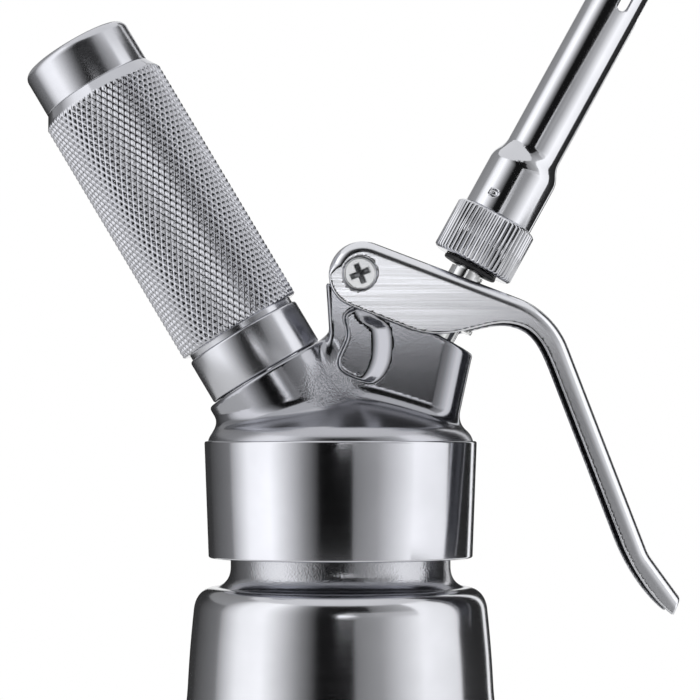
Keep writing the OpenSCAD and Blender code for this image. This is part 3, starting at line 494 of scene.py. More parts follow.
def casting_field(x, y, z):
    """Distance to the cast top, with the bores of its valve, charger and pivot."""
    rho = np.hypot(x, y)
    cone = (z - DOME_APEX_Z) * math.cos(DOME_SLOPE) + rho * math.sin(DOME_SLOPE)
    dome = meet(cone, rho - DOME_R, 3.2)
    up, side = along_axis(BOSS_CENTRE, -BOSS_LEAN, x, z)
    boss = meet(np.hypot(side, y) - BOSS_R, up, 0.9)
    end_x = BLOCK_END_X - (BLOCK_END_Z - z) * BLOCK_END_LEAN - BLOCK_HALF
    plan = np.hypot(np.maximum(x - end_x, 0), y) - BLOCK_HALF
    block = meet(outline_field(BLOCK_SIDE, x, z), plan, 0.9)
    deep = np.clip(BLOCK_HALF - np.abs(y), 0, POCKET_DEPTH)
    slanted_rim = outline_field(POCKET_SIDE, x + POCKET_SLANT * deep, z)
    rim = np.maximum(outline_field(POCKET_SIDE, x, z), slanted_rim)
    pocket = meet(rim, BLOCK_HALF - POCKET_DEPTH - np.abs(y), 0.7)
    whole = meet(join(join(dome, boss, 3.2), block, 3.6), -pocket, 0.5)
    nozzle_up, nozzle_side = along_axis(TOWER_CENTRE, NOZZLE_LEAN, x, z)
    off_valve = np.hypot(nozzle_side, y)
    spring_hole = np.maximum(off_valve - SPRING_HOLE_R, -SPRING_HOLE_D - nozzle_up)
    ring_groove = np.maximum(off_valve - GROOVE_R, np.abs(nozzle_up - GROOVE_MIDDLE) - GROOVE_HALF)
    seat_well = np.maximum(off_valve - SEAT_WELL_R, nozzle_up + SEAT_DEPTH)
    charger_hole = np.maximum(np.hypot(side, y) - CHARGER_HOLE_R, -1 - up)
    hollow = np.maximum(rho - HOLLOW_R, z - HOLLOW_TOP_Z)
    pivot_hole = np.hypot(x - PIVOT[0], z - PIVOT[1]) - PIVOT_HOLE_R
    for hole in (spring_hole, off_valve - STEM_HOLE_R, ring_groove, seat_well, charger_hole, pivot_hole):
        whole = meet(whole, -hole, 0.25)
    return np.maximum(np.maximum(whole, -hollow), CAST_FOOT_Z - z)


# Stainless steel with a blasted skin. The belt has smoothed it, apart from the corner below the
# pocket, where the grains stay sharp; they are drawn about twice their real size so that they show.
# Below the fillets the dome is turned, with rings 0.25 mm apart and a lighter, softer shine.
ROUGH_CORNER, ROUGH_REACH, BELT_SMOOTHING = Vector((-0.5, -14.5, 200.5)) * MM, 10.0 * MM, 50
TURNED_ROUGHNESS, TURNED_DEPTH, RINGS_PER_M = 0.24, 0.0015, 4000.0


def cast_and_turned(name, cast_hex, turned_hex, roughness, grain_mm, grain_depth):
    material, tree = new_material(name)
    where = add(tree, "ShaderNodeTexCoord").outputs["Object"]
    grains = add(tree, "ShaderNodeTexNoise", {"Scale": 1 / (grain_mm * MM), "Detail": 2.0, "Roughness": 0.6},
                 {"Vector": where})
    flat = add(tree, "ShaderNodeVectorMath", {"operation": "MULTIPLY", 1: (1, 1, 0)}, {0: where})
    reach = add(tree, "ShaderNodeVectorMath", {"operation": "LENGTH"}, {0: flat.outputs[0]})
    height = add(tree, "ShaderNodeSeparateXYZ", links={0: where})
    over_cone = add(tree, "ShaderNodeMath", {"operation": "MULTIPLY_ADD", 1: math.tan(DOME_SLOPE)},
                    {0: reach.outputs["Value"], 2: height.outputs["Z"]})
    cast = add(tree, "ShaderNodeMapRange",
               {"From Min": (DOME_APEX_Z + 0.25) * MM, "From Max": (DOME_APEX_Z + 0.7) * MM},
               {"Value": over_cone.outputs[0]})
    ring_place = add(tree, "ShaderNodeCombineXYZ", links={"X": reach.outputs["Value"]})
    rings = add(tree, "ShaderNodeTexNoise", {"Scale": RINGS_PER_M, "Detail": 2.0},
                {"Vector": ring_place.outputs[0]})
    relief = add(tree, "ShaderNodeMix",
                 links={0: cast.outputs[0], 2: rings.outputs["Fac"], 3: grains.outputs["Fac"]})
    corner = add(tree, "ShaderNodeVectorMath", {"operation": "DISTANCE", 1: ROUGH_CORNER}, {0: where})
    rough = add(tree, "ShaderNodeMapRange",
                {"From Min": ROUGH_REACH / 2, "From Max": ROUGH_REACH,
                 "To Min": grain_depth * MM, "To Max": grain_depth * MM / BELT_SMOOTHING},
                {"Value": corner.outputs["Value"]})
    depth = add(tree, "ShaderNodeMix", {2: TURNED_DEPTH * MM}, {0: cast.outputs[0], 3: rough.outputs[0]})
    gloss = add(tree, "ShaderNodeMapRange", {"To Min": TURNED_ROUGHNESS, "To Max": roughness},
                {"Value": cast.outputs[0]})
    tone = add(tree, "ShaderNodeMix", {"data_type": "RGBA", 6: linear(turned_hex), 7: linear(cast_hex)},
               {0: cast.outputs[0]})
    bump = add(tree, "ShaderNodeBump", {"Strength": 1.0},
               {"Height": relief.outputs[0], "Distance": depth.outputs[0]})
    steel = add(tree, "ShaderNodeBsdfPrincipled", {"Metallic": 1.0},
                {"Base Color": tone.outputs[2], "Roughness": gloss.outputs[0], "Normal": bump.outputs[0]})
    add(tree, "ShaderNodeOutputMaterial", links={"Surface": steel.outputs[0]})
    return material


cast_steel = cast_and_turned("blasted_and_turned_casting", "#a0a1a7", "#b2b3b9", 0.15, 0.5, 0.34)
casting = skin("head_casting", casting_field, (-36, -34, 185.9), (36, 34, 236), 0.6, cast_steel)
fit(casting, "head", "cast_head", "head")


# --- Head: threaded stub ----------------------------------
# Threaded stub on the boss, turned from the same casting, with the recess for the charger's neck.
# The charger's holder screws onto it.
def axis_place(point, direction):
    """Local frame at a point in metres, with local Z along the direction and local Y kept level."""
    z = Vector(direction).normalized()
    y = Vector((0, 1, 0))
    x = y.cross(z).normalized()
    return Matrix.Translation(point) @ Matrix((x, y, z)).transposed().to_4x4()


STUB_PITCH = 1.5
charger_place = axis_place(Vector((BOSS_CENTRE[0], 0, BOSS_CENTRE[1])) * MM,
                           (-math.sin(BOSS_LEAN), 0, math.cos(BOSS_LEAN)))


def fine_thread(crest_r, pitch, depth, low, high):
    """Fine thread cut between two heights of one radius."""
    def wave(angles, r, z):
        if r != crest_r or not low < z < high:
            return np.full(len(angles), r)
        return r - depth * (0.5 + 0.5 * np.cos(2 * math.pi * z / pitch - angles))
    return wave


stub_outline = ([(0, 1), (CHARGER_HOLE_R, 1), (CHARGER_HOLE_R, 10), (STUB_R - 0.9, 10)]
                + [(STUB_R, z) for z in np.arange(9.2, 1.0, -0.15)] + [(STUB_R, -1), (0, -1)])
stub = turned("charger_stub", stub_outline, collar_steel, charger_place,
              wave=fine_thread(STUB_R, STUB_PITCH, 0.5, 1.2, 9))
fit(stub, "head", "cast_head")


# --- Charger holder ---------------------------------------
# Turned stainless cup with a smooth ring at its mouth. A knurled sleeve is pressed over it as the
# grip, and a smooth cap closes the end.
SHELL_BORE_R, SHELL_THREAD_R, TUBE_R, RING_R = 9.4, 13.5, 12.4, 15.2
GRIP_R, GRIP_LOW, GRIP_TOP, TAPER_Z, TAPER_DEPTH = 16.2, 13.4, 83.2, 80.0, 1.9
KNURL_STARTS, KNURL_PITCH, KNURL_DEPTH, KNURL_CREST = 64, 2.755, 0.48, 0.8

holder_outline = ([(0, 69.2), (SHELL_BORE_R, 69.2), (SHELL_BORE_R, 14.1)]
                  + [(SHELL_THREAD_R, z) for z in np.arange(11.4, 1, -0.15)]
                  + rounded([(SHELL_THREAD_R, 0.9), (SHELL_THREAD_R + 0.4, 0.3), (RING_R, 0.3, 0.5),
                             (RING_R, 12.1, 0.7), (14.4, 12.1), (14.4, GRIP_LOW), (TUBE_R, GRIP_LOW),
                             (TUBE_R, GRIP_TOP - 0.1), (10, GRIP_TOP - 0.1), (10, 73.2), (0, 73.2)]))
# Brushed more coarsely, which spreads the highlights of the ring and the cap.
holder_steel = turned_steel("brushed_turned_holder", "#c6c7cd", 0.22, 0.2, 0.002, 0.5)
holder = turned("holder_cup", holder_outline, holder_steel, charger_place)
fit(holder, "charger_holder", "turned_holder", "holder_shell")


def knurl(angles, r, z):
    """Diamond knurling: two crossing sets of grooves pressed into the sleeve, with blunt crests."""
    if r < TUBE_R + 1:
        return np.full(len(angles), r)
    turn = angles * KNURL_STARTS / (2 * math.pi)
    ridges = [np.abs(2 * ((turn + way * z / KNURL_PITCH) % 1) - 1) for way in (1, -1)]
    height = np.minimum(np.minimum(*ridges), KNURL_CREST) / KNURL_CREST
    return np.minimum(r, GRIP_R - KNURL_DEPTH * (1 - height))


sleeve_r = TUBE_R + 0.05
knurl_rows = [(GRIP_R, z) for z in np.arange(GRIP_LOW + 0.6, TAPER_Z, KNURL_PITCH / 8)]
grip_outline = ([(sleeve_r, GRIP_LOW), (GRIP_R - 0.9, GRIP_LOW), (GRIP_R - 0.4, GRIP_LOW + 0.2)]
                + knurl_rows
                + [(GRIP_R - TAPER_DEPTH * t, TAPER_Z + (GRIP_TOP - TAPER_Z) * t)
                   for t in np.linspace(0, 1, 12)]
                + [(sleeve_r, GRIP_TOP)])
# The rolls of the knurling tool burnish the flanks, so that each diamond glints.
knurled_steel = turned_steel("knurled_stainless", "#bebfc5", 0.11, 0.15, 0.001, 0.0, 0.04)
grip = turned("holder_grip_sleeve", grip_outline, knurled_steel, charger_place, KNURL_STARTS * 8, knurl)
fit(grip, "charger_holder", "knurled_grip", "holder_grip")

CAP_R, CAP_TOP = 14.3, 95
cap_outline = rounded([(0, 73.3), (9.95, 73.3), (9.95, GRIP_TOP), (CAP_R, GRIP_TOP, 0.3),
                       (CAP_R, CAP_TOP, 2.2), (0, CAP_TOP)], 8)
cap = turned("holder_end_cap", cap_outline, holder_steel, charger_place)
fit(cap, "charger_holder", "turned_holder", "holder_cap")


# --- Lever ------------------------------------------------
# Pressed from 1.6 mm stainless sheet into a channel: web on top, two cheeks down, and soft bends
# between. It is slotted for the valve stem and polished to a satin shine.
LEVER_HALF, SHEET, BEND_R = 10.4, 1.6, 3.0
NOSE_R, NOSE_START, WEB_START = 8.4, 244, 172
TOP_SLOPE, TOP_LEN, KNEE_R, HANDLE_SLOPE, HANDLE_LEN = 20.9, 38.1, 21.2, 69.0, 53.4
CHEEK_D, BELLY_D, FLARE_R, TIP_SLOPE, TIP_LEN = 5.2, 12.2, 10.0, 54.0, 12.0
SCREW_HEAD_R, SLOT_R, SLOT_STRETCH, SLOT_FROM = 4.0, 5.2, 1.6, 6


def heading(slope):
    """Direction down a slope, in degrees below level."""
    return np.array([math.cos(math.radians(slope)), -math.sin(math.radians(slope))])


def outward(slope):
    """Direction out of a slope's upper side."""
    return np.array([math.sin(math.radians(slope)), math.cos(math.radians(slope))])


def from_point(start, slope, along, out=0):
    """Point reached from another by going down a slope and then out of its upper side."""
    return tuple(start + along * heading(slope) + out * outward(slope))


pivot = np.array(PIVOT)
nose = pivot + (0.7, -0.2)
top_end = nose + NOSE_R * outward(TOP_SLOPE) + TOP_LEN * heading(TOP_SLOPE)
knee = top_end - KNEE_R * outward(TOP_SLOPE)
handle_start = knee + KNEE_R * outward(HANDLE_SLOPE)
handle_end = handle_start + HANDLE_LEN * heading(HANDLE_SLOPE)
flare = handle_end + FLARE_R * outward(HANDLE_SLOPE)
tip_start = flare - FLARE_R * outward(TIP_SLOPE)
tip_end = tip_start + TIP_LEN * heading(TIP_SLOPE)


def lever_back(grow, nose_from):
    """The lever's outer line from the nose to the tip, grown outwards."""
    return (arc(nose, NOSE_R + grow, nose_from, 90 - TOP_SLOPE, 28)
            + arc(knee, KNEE_R + grow, 90 - TOP_SLOPE, 90 - HANDLE_SLOPE, 16)
            + arc(flare, FLARE_R - grow, 270 - HANDLE_SLOPE, 270 - TIP_SLOPE, 6))


LEVER_BACK = (lever_back(0, 246)
              + [from_point(tip_end, TIP_SLOPE, 8), from_point(tip_end, TIP_SLOPE, 8, -16),
                 from_point(handle_end, HANDLE_SLOPE, 0, -16),
                 from_point(handle_start, HANDLE_SLOPE, 0, -18),
                 tuple(pivot + (24, -32)), tuple(pivot + (-4, -32))])
tip_corner = from_point(tip_end, TIP_SLOPE, 2.3, -4.1)
handle_in = handle_end - CHEEK_D * outward(HANDLE_SLOPE)
knee_in = handle_start - CHEEK_D * outward(HANDLE_SLOPE)
belly_start = pivot + (12.5, -BELLY_D - 1.6)
nose_angle = math.radians(NOSE_START)
nose_low = nose + NOSE_R * np.array([math.cos(nose_angle), math.sin(nose_angle)])
past_nose = nose_low + 6 * (nose_low - belly_start) / np.linalg.norm(nose_low - belly_start)
LEVER_SIDE = ([tuple(past_nose)] + lever_back(6, 195)
              + [from_point(tip_end, TIP_SLOPE, 0, 6), tuple(tip_end), tip_corner]
              + curve(tip_corner, from_point(tip_start, TIP_SLOPE, 7, -6.2),
                      from_point(handle_in, HANDLE_SLOPE, 2), from_point(handle_in, HANDLE_SLOPE, -4), 10)
              + [from_point(knee_in, HANDLE_SLOPE, 9)]
              + curve(from_point(knee_in, HANDLE_SLOPE, 9), from_point(knee_in, HANDLE_SLOPE, -2),
                      pivot + (44.4, -BELLY_D - 0.9), pivot + (37, -BELLY_D), 16)
              + curve(pivot + (37, -BELLY_D), pivot + (30, -BELLY_D + 0.6),
                      pivot + (23, -BELLY_D - 5), belly_start, 16))


def lever_field(x, y, z):
    """Distance to the pressed channel, open below and, at the nose, behind."""
    side = np.abs(y)
    back = outline_field(LEVER_BACK, x, z)
    around = np.degrees(np.arctan2(z - nose[1], x - nose[0])) % 360
    by_nose = np.hypot(x - nose[0], z - nose[1]) < NOSE_R + 6
    flat = np.clip((around - WEB_START + 14) / 22, 0, 1) * np.where(by_nose & (around < 340), 1.0, 0.0)
    outside = meet(back, side - LEVER_HALF, BEND_R - (BEND_R - 0.5) * flat)
    web_end = nose[1] + NOSE_R * math.sin(math.radians(WEB_START))
    open_nose = meet(z - web_end, x - pivot[0], 0.3)
    inside = np.minimum(meet(back + SHEET, side - LEVER_HALF + SHEET, 1.4),
                        np.maximum(open_nose, side - LEVER_HALF + SHEET))
    shell = meet(outside, -inside, 0.35)
    shell = meet(shell, outline_field(LEVER_SIDE, x, z), 0.45)
    screw_hole = np.hypot(x - pivot[0], z - pivot[1]) - SCREW_HEAD_R - 0.2
    up, across = along_axis(TOWER_CENTRE, NOZZLE_LEAN, x, z)
    stem_slot = np.hypot(np.maximum(np.abs(across) - SLOT_STRETCH, 0), y) - SLOT_R
    stem_slot = np.maximum(stem_slot, SLOT_FROM - up)
    return meet(meet(shell, -screw_hole, 0.25), -stem_slot, 0.3)


# Satin-polished sheet: fine straight lines from the belt along the lever, which draw its highlights
# out across them. Where the mesh says inner, a darker colour is painted on as the shade inside the channel.
def satin_steel(name, hex_colour, roughness, line_mm, line_depth, slope, stretch, painted_shade_hex=None):
    material, tree = new_material(name)
    where = add(tree, "ShaderNodeTexCoord").outputs["Object"]
    lines = add(tree, "ShaderNodeMapping",
                {"Rotation": (0, -slope, 0), "Scale": (30, 30, 1 / (line_mm * MM))}, {"Vector": where})
    scratches = add(tree, "ShaderNodeTexNoise", {"Scale": 1.0, "Detail": 3.0}, {"Vector": lines.outputs[0]})
    gloss = add(tree, "ShaderNodeMapRange",
                {"From Min": 0.3, "From Max": 0.7, "To Min": roughness - 0.03, "To Max": roughness + 0.03},
                {"Value": scratches.outputs["Fac"]})
    bump = add(tree, "ShaderNodeBump", {"Strength": 1.0, "Distance": line_depth * MM},
               {"Height": scratches.outputs["Fac"]})
    belt = add(tree, "ShaderNodeCombineXYZ", {"X": math.sin(slope), "Z": math.cos(slope)})
    inner = add(tree, "ShaderNodeAttribute", {"attribute_name": "inner"})
    tone = add(tree, "ShaderNodeMix",
               {"data_type": "RGBA", 6: linear(hex_colour), 7: linear(painted_shade_hex or hex_colour)},
               {0: inner.outputs["Fac"]})
    steel = add(tree, "ShaderNodeBsdfPrincipled", {"Metallic": 1.0, "Anisotropic": stretch},
                {"Base Color": tone.outputs[2], "Roughness": gloss.outputs[0], "Normal": bump.outputs[0],
                 "Tangent": belt.outputs[0]})
    add(tree, "ShaderNodeOutputMaterial", links={"Surface": steel.outputs[0]})
    return material


# Its second, dark colour is painted shade for the inside of the channel.
lever_steel = satin_steel("satin_polished_sheet_steel", "#dadbe0", 0.18, 0.3, 0.0003,
                          math.radians(TOP_SLOPE), 0.6, "#5a5b60")
lever = skin("lever_channel", lever_field, (-5, -11.2, 142), (87, 11.2, 239.2), 0.42, lever_steel)
# The inside faces of the channel, which get the painted shade.
spots = np.array([v.co for v in lever.data.vertices]) / MM
inner = ((np.abs(spots[:, 1]) < LEVER_HALF - SHEET + 0.1)
         & (outline_field(LEVER_BACK, spots[:, 0], spots[:, 2]) < 0.1 - SHEET))
lever.data.attributes.new("inner", "FLOAT", "POINT").data.foreach_set("value", inner.astype(float))
fit(lever, "lever", "satin_lever", "lever")


# --- Pivot ------------------------------------------------
# Steel screw with a cross recess and, from the far side, a barrel nut. Both are turned from bar and
# meet inside the lug, and their heads carry the lever's cheeks.
HEAD_FACE = LEVER_HALF + 0.3
CROSS_TURN, CROSS_REACH, CROSS_HALF, CROSS_DEPTH = math.radians(22), 2.5, 0.62, 2.9
pivot_place = Matrix.Translation(Vector((PIVOT[0], 0, PIVOT[1])) * MM)


def screw_field(x, y, z):
    """Distance to the screw's head and shank, with its cross recess."""
    rho = np.hypot(x, y)
    head = meet(rho - SCREW_HEAD_R, np.maximum(z - HEAD_FACE, BLOCK_HALF + 0.05 - z), 0.35)
    shank = np.maximum(rho - 2, np.maximum(z - BLOCK_HALF - 1, -4 - z))
    along = np.abs(x * math.cos(CROSS_TURN) + y * math.sin(CROSS_TURN))
    beside = np.abs(y * math.cos(CROSS_TURN) - x * math.sin(CROSS_TURN))
    deep = HEAD_FACE - z
    reach, half = CROSS_REACH - 0.6 * deep, CROSS_HALF - 0.08 * deep
    arms = np.minimum(np.maximum(along - reach, beside - half), np.maximum(beside - reach, along - half))
    return meet(np.minimum(head, shank), -np.maximum(arms, deep - CROSS_DEPTH + 0.9 * rho), 0.12)


# Turned and left plain: an even grey that hardly mirrors.
screw_steel = satin_steel("machined_screw_steel", "#c2c3c5", 0.18, 0.2, 0.0005, 0.0, 0.0)
screw = skin("pivot_screw_head", screw_field, (-4.3, -4.3, -4.3), (4.3, 4.3, 11), 0.17, screw_steel,
             pivot_place @ Matrix.Rotation(math.pi / 2, 4, "X"))
fit(screw, "head", "screw_steel", "pivot_screw")

barrel_outline = rounded([(2.05, -BLOCK_HALF), (3, -BLOCK_HALF), (3, BLOCK_HALF + 0.05),
                          (SCREW_HEAD_R, BLOCK_HALF + 0.05), (SCREW_HEAD_R, HEAD_FACE, 0.4), (0, HEAD_FACE)])
barrel_outline += [(0, 6), (2.05, 5)]  # the drilled end of its threaded hole
barrel = turned("pivot_barrel_nut", barrel_outline, screw_steel,
                pivot_place @ Matrix.Rotation(-math.pi / 2, 4, "X"), 96)
fit(barrel, "head", "screw_steel", "pivot_barrel")


# --- Valve ------------------------------------------------
# Turned stainless stem with a flanged push sleeve on it. The nozzle's threaded adapter sits on its
# top over a black rubber ring.
valve_place = axis_place(Vector((TOWER_CENTRE[0], 0, TOWER_CENTRE[1])) * MM,
                         (math.sin(NOZZLE_LEAN), 0, math.cos(NOZZLE_LEAN)))
NUT_BASE, NUT_LEN, NUT_R, NUT_FLUTES, FLUTE_D = 19.56, 13.6, 10.6, 48, 0.5
STEM_R, STEM_BORE_R, STEM_TOP, SLEEVE_TOP = 4.3, 2.6, NUT_BASE - 2, 12.76
NUT_TOP = NUT_BASE + NUT_LEN

# Turned and polished for the seals that run on it: bright, with faint rings.
polished_stem = turned_steel("polished_turned_stem", "#d0d1d2", 0.14, 0.2, 0.001, 0.3, 0.03)
SPIGOT_R, SPIGOT_LEN = 3.4, 8.4
stem_outline = [(STEM_BORE_R, -23.5), (STEM_R, -23.5), (STEM_R, STEM_TOP), (SPIGOT_R, STEM_TOP),
                (SPIGOT_R, STEM_TOP + SPIGOT_LEN), (STEM_BORE_R, STEM_TOP + SPIGOT_LEN)]
stem = turned("valve_stem_tube", stem_outline, polished_stem, valve_place, 96)
fit(stem, "valve", "polished_stem", "valve_stem")

SLEEVE_R, FLANGE_R, BORE_R = 7, 8.35, STEM_R + 0.05
sleeve_outline = rounded([(BORE_R, -0.6), (5.5, -0.6), (5.5, 3.8), (FLANGE_R, 3.8, 0.3),
                          (FLANGE_R, 5.0, 0.3), (SLEEVE_R, 5.4, 0.2), (SLEEVE_R, SLEEVE_TOP, 0.7),
                          (BORE_R, SLEEVE_TOP)])
sleeve = turned("valve_push_sleeve", sleeve_outline, polished_stem, valve_place, 96)
fit(sleeve, "valve", "polished_stem", "push_sleeve")

ADAPTER_R = 6.6
adapter_top, adapter_step = NUT_BASE + 10.2, NUT_BASE + 6.7
adapter_outline = ([(SPIGOT_R + 0.05, NUT_BASE + 0.05)]
                   + [(ADAPTER_R, z) for z in np.arange(NUT_BASE + 0.05, NUT_BASE + 9.4, 0.12)]
                   + [(ADAPTER_R - 0.8, adapter_top), (STEM_BORE_R, adapter_top),
                      (STEM_BORE_R, adapter_step), (SPIGOT_R + 0.05, adapter_step)])
adapter = turned("nozzle_adapter_thread", adapter_outline, polished_stem, valve_place, 96,
                 fine_thread(ADAPTER_R, 1.25, 0.4, NUT_BASE + 0.6, NUT_BASE + 9.4))
fit(adapter, "valve", "polished_stem", "nozzle_adapter")


# Moulded rubber: no mirror image, only a soft sheen that specks of dust, about 1 mm apart, break up.
def rubber(name, hex_colour, roughness):
    material, tree = new_material(name)
    where = add(tree, "ShaderNodeTexCoord").outputs["Object"]
    dust = add(tree, "ShaderNodeTexNoise", {"Scale": 900.0, "Detail": 3.0}, {"Vector": where})
    gloss = add(tree, "ShaderNodeMapRange", {"To Min": roughness - 0.08, "To Max": roughness + 0.08},
                {"Value": dust.outputs["Fac"]})
    bump = add(tree, "ShaderNodeBump", {"Strength": 0.4, "Distance": 0.01 * MM},
               {"Height": dust.outputs["Fac"]})
    soft = add(tree, "ShaderNodeBsdfPrincipled", {"Base Color": linear(hex_colour)},
               {"Roughness": gloss.outputs[0], "Normal": bump.outputs[0]})
    add(tree, "ShaderNodeOutputMaterial", links={"Surface": soft.outputs[0]})
    return material


# Nitrile, black with a trace of blue.
black_rubber = rubber("black_nitrile_rubber", "#17171a", 0.5)
ring_outline = rounded([(BORE_R, NUT_BASE - 1.3), (7.1, NUT_BASE - 1.3, 0.5), (7.1, NUT_BASE - 0.1, 0.5),
                        (BORE_R, NUT_BASE - 0.1)])
seal_ring = turned("nozzle_ring", ring_outline, black_rubber, valve_place, 96)
fit(seal_ring, "nozzle_ring", "black_rubber", "nozzle_seal")


# --- Valve spring -----------------------------------------
# Compression spring of drawn wire round the stem, in the tower's pocket. It shortens as the lever
# is squeezed, but is drawn here at one length only.
def coil(name, radius, wire, low, high, turns, lead, material, place):
    """A wire spring with closed ends of lead turns, standing between two heights."""
    per_turn, sides = 28, 12
    verts = []
    for i in range(per_turn * turns + 1):
        a = 2 * math.pi * i / per_turn
        rise = min(1, max(0, (i / per_turn - lead) / (turns - 2 * lead)))
        middle = low + wire + (high - low - 2 * wire) * rise
        for k in range(sides):
            b = 2 * math.pi * k / sides
            r = radius + wire * math.cos(b)
            verts.append((r * math.cos(a) * MM, r * math.sin(a) * MM, (middle + wire * math.sin(b)) * MM))
    faces = []
    for i in range(per_turn * turns):
        here, beyond = i * sides, (i + 1) * sides
        for k in range(sides):
            j = (k + 1) % sides
            faces.append((here + k, beyond + k, beyond + j, here + j))
    faces += [tuple(range(sides)), tuple(len(verts) - 1 - k for k in range(sides))]
    mesh = bpy.data.meshes.new(name)
    mesh.from_pydata(verts, [], faces)
    mesh.shade_smooth()
    mesh.set_sharp_from_angle(angle=math.radians(60))
    piece = add_object(name, mesh, material)
    piece.matrix_world = place
    return piece


SPRING_R, WIRE_R, SPRING_TURNS, CLOSED_TURNS = 5.1, 0.45, 4, 0.4
SPRING_LOW, SPRING_HIGH, STROKE = -8.9, -0.7, 2.35
# Wire dulled by the die it was drawn through.
spring_wire = satin_steel("drawn_spring_wire", "#8d9094", 0.25, 0.1, 0.0005, 0.0, 0.0)
spring = coil("valve_return_spring", SPRING_R, WIRE_R, SPRING_LOW, SPRING_HIGH, SPRING_TURNS, CLOSED_TURNS,
              spring_wire, valve_place)
fit(spring, "head", "spring_steel", "valve_spring")
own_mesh(spring)


# --- Nozzle -----------------------------------------------
# Drawn stainless tube with a wide crimped base, slit at the tip to shape the cream, and a fluted nut
# that holds it on the valve. Tube and nut are polished.
def flutes(angles, r, z):
    """Rounded ridges between narrow grooves, milled round the nut."""
    if r < 9:
        return np.full(len(angles), r)
    return np.minimum(r, NUT_R - FLUTE_D * (1 - np.abs(np.cos(angles * NUT_FLUTES / 2))))


nut_edge = [(9.7, 0), (10.0, 0.15), (10.25, 0.35), (NUT_R, 0.7)]
nut_outline = ([(7, NUT_BASE)] + [(r, NUT_BASE + z) for r, z in nut_edge]
               + [(r, NUT_TOP - z) for r, z in nut_edge[::-1]]
               + [(8.05, NUT_TOP), (8.05, NUT_BASE + 10.5), (7, NUT_BASE + 10.5)])
# Polished bright, so that each flute shows one dark and one light line.
nut_steel = turned_steel("polished_fluted_nut", "#cccdd2", 0.07, 0.3, 0.0005, 0.0, 0.03)
nut = turned("nozzle_fluted_nut", nut_outline, nut_steel, valve_place, NUT_FLUTES * 12, flutes)
fit(nut, "nozzle", "nozzle_nut_steel", "nozzle_nut")

NOZZLE_BASE_R, NOZZLE_BASE_TOP, NOZZLE_R, NOZZLE_WALL = 9.0, NUT_TOP + 13.9, 7.1, 1.1
NOZZLE_TIP, SLIT_LEN, SLIT_W, SLITS, FIRST_SLIT = NUT_TOP + 80, 19.3, 2.8, 5, math.radians(-74)
DENT_SIDE, DENT_UP, DENT_HALF = -3.9, 4.2, (1.3, 0.9, 1.0)
NOZZLE_SIDE = [(6, NUT_BASE + 10.6), (8, NUT_BASE + 10.6), (8, NUT_TOP + 0.02),
               (NOZZLE_BASE_R, NUT_TOP + 0.02), (NOZZLE_BASE_R, NOZZLE_BASE_TOP - 1.2),
               *curve((NOZZLE_BASE_R, NOZZLE_BASE_TOP - 1.2), (NOZZLE_BASE_R, NOZZLE_BASE_TOP + 1.6),
                      (NOZZLE_R, NOZZLE_BASE_TOP + 2.4), (NOZZLE_R, NOZZLE_BASE_TOP + 5.2), 14),
               (NOZZLE_R, NOZZLE_TIP), (NOZZLE_R - NOZZLE_WALL, NOZZLE_TIP)]


def nozzle_field(x, y, z):
    """Distance to the tube, with the slits at its tip and the small crimp at its base."""
    rho = np.hypot(x, y)
    tube = meet(outline_field(NOZZLE_SIDE, rho, z), z - NOZZLE_TIP, 0.45)
    turn = (np.arctan2(y, x) - FIRST_SLIT + math.pi / SLITS) % (2 * math.pi / SLITS) - math.pi / SLITS
    start = NOZZLE_TIP - SLIT_LEN
    slit = np.hypot(rho * np.sin(turn), np.minimum(z - start, 0)) - SLIT_W / 2
    dent_front = -math.sqrt(NOZZLE_BASE_R ** 2 - DENT_SIDE ** 2)
    across, deep, along = ((q - middle) / half for q, middle, half
                           in zip((x, y, z), (DENT_SIDE, dent_front, NUT_TOP + DENT_UP), DENT_HALF))
    dent = np.sqrt(across ** 2 + deep ** 2 + along ** 2) - 1
    return meet(meet(tube, -slit, 0.2), -dent * 0.7, 0.15)


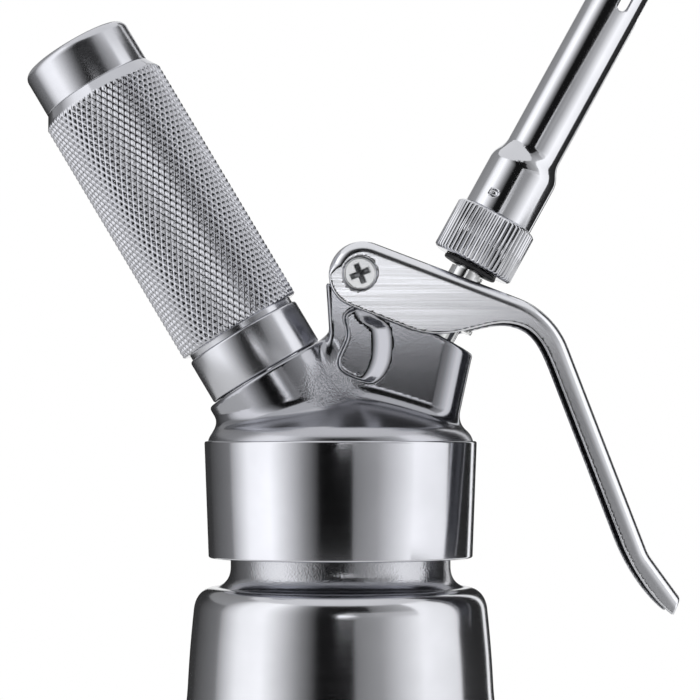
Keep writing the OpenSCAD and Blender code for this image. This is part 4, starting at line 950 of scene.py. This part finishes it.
# Drawn and polished: the sharpest stripes on the dispenser.
nozzle_steel = turned_steel("polished_drawn_tube", "#d0d1d6", 0.1, 0.5, 0.0005, 0.3, 0.02)
nozzle = skin("nozzle_slit_tube", nozzle_field, (-9.6, -9.6, NUT_BASE + 10), (9.6, 9.6, NOZZLE_TIP + 0.6),
              0.42, nozzle_steel, valve_place)
fit(nozzle, "nozzle", "polished_nozzle", "nozzle_tube")


# --- Small parts inside -----------------------------------
# The silicone ring, the piercing pin in its brass cartridge, the seals and the charger, which are
# out of sight and keep the plain solids.
# Their metals are left as they were machined or plated, so that the gloss is cloudy, in spots of 2
# to 8 mm.
def plain_metal(name, hex_colour, roughness, spots_per_m):
    material, tree = new_material(name)
    where = add(tree, "ShaderNodeTexCoord").outputs["Object"]
    spots = add(tree, "ShaderNodeTexNoise", {"Scale": spots_per_m, "Detail": 3.0}, {"Vector": where})
    gloss = add(tree, "ShaderNodeMapRange", {"To Min": roughness - 0.08, "To Max": roughness + 0.08},
                {"Value": spots.outputs["Fac"]})
    metal = add(tree, "ShaderNodeBsdfPrincipled", {"Metallic": 1.0, "Base Color": linear(hex_colour)},
                {"Roughness": gloss.outputs[0]})
    add(tree, "ShaderNodeOutputMaterial", links={"Surface": metal.outputs[0]})
    return material


# Silicone, moulded with a smoother skin than the black rubber.
silicone = rubber("grey_silicone", "#a9acae", 0.45)
SMALL_PARTS = {
    "head_gasket": (silicone, "silicone"),
    "pin_holder": (plain_metal("turned_brass", "#b5904a", 0.3, 300.0), "brass"),
    "piercing_pin": (plain_metal("hardened_pin_steel", "#8f9296", 0.22, 500.0), "hardened_pin"),
    "charger_seal": (black_rubber, "black_rubber"),
    "check_valve": (silicone, "silicone"),
    "stem_o_ring": (black_rubber, "black_rubber"),
    "valve_seal": (black_rubber, "black_rubber"),
    "valve_nut": (plain_metal("milled_brass", "#b08c48", 0.28, 200.0), "brass"),
    "charger": (plain_metal("zinc_plated_charger", "#a7abaf", 0.3, 120.0), "charger_steel"),
}
for node_name, (finish, slot_name) in SMALL_PARTS.items():
    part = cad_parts[node_name]
    part.data.materials.clear()
    part.data.materials.append(finish)
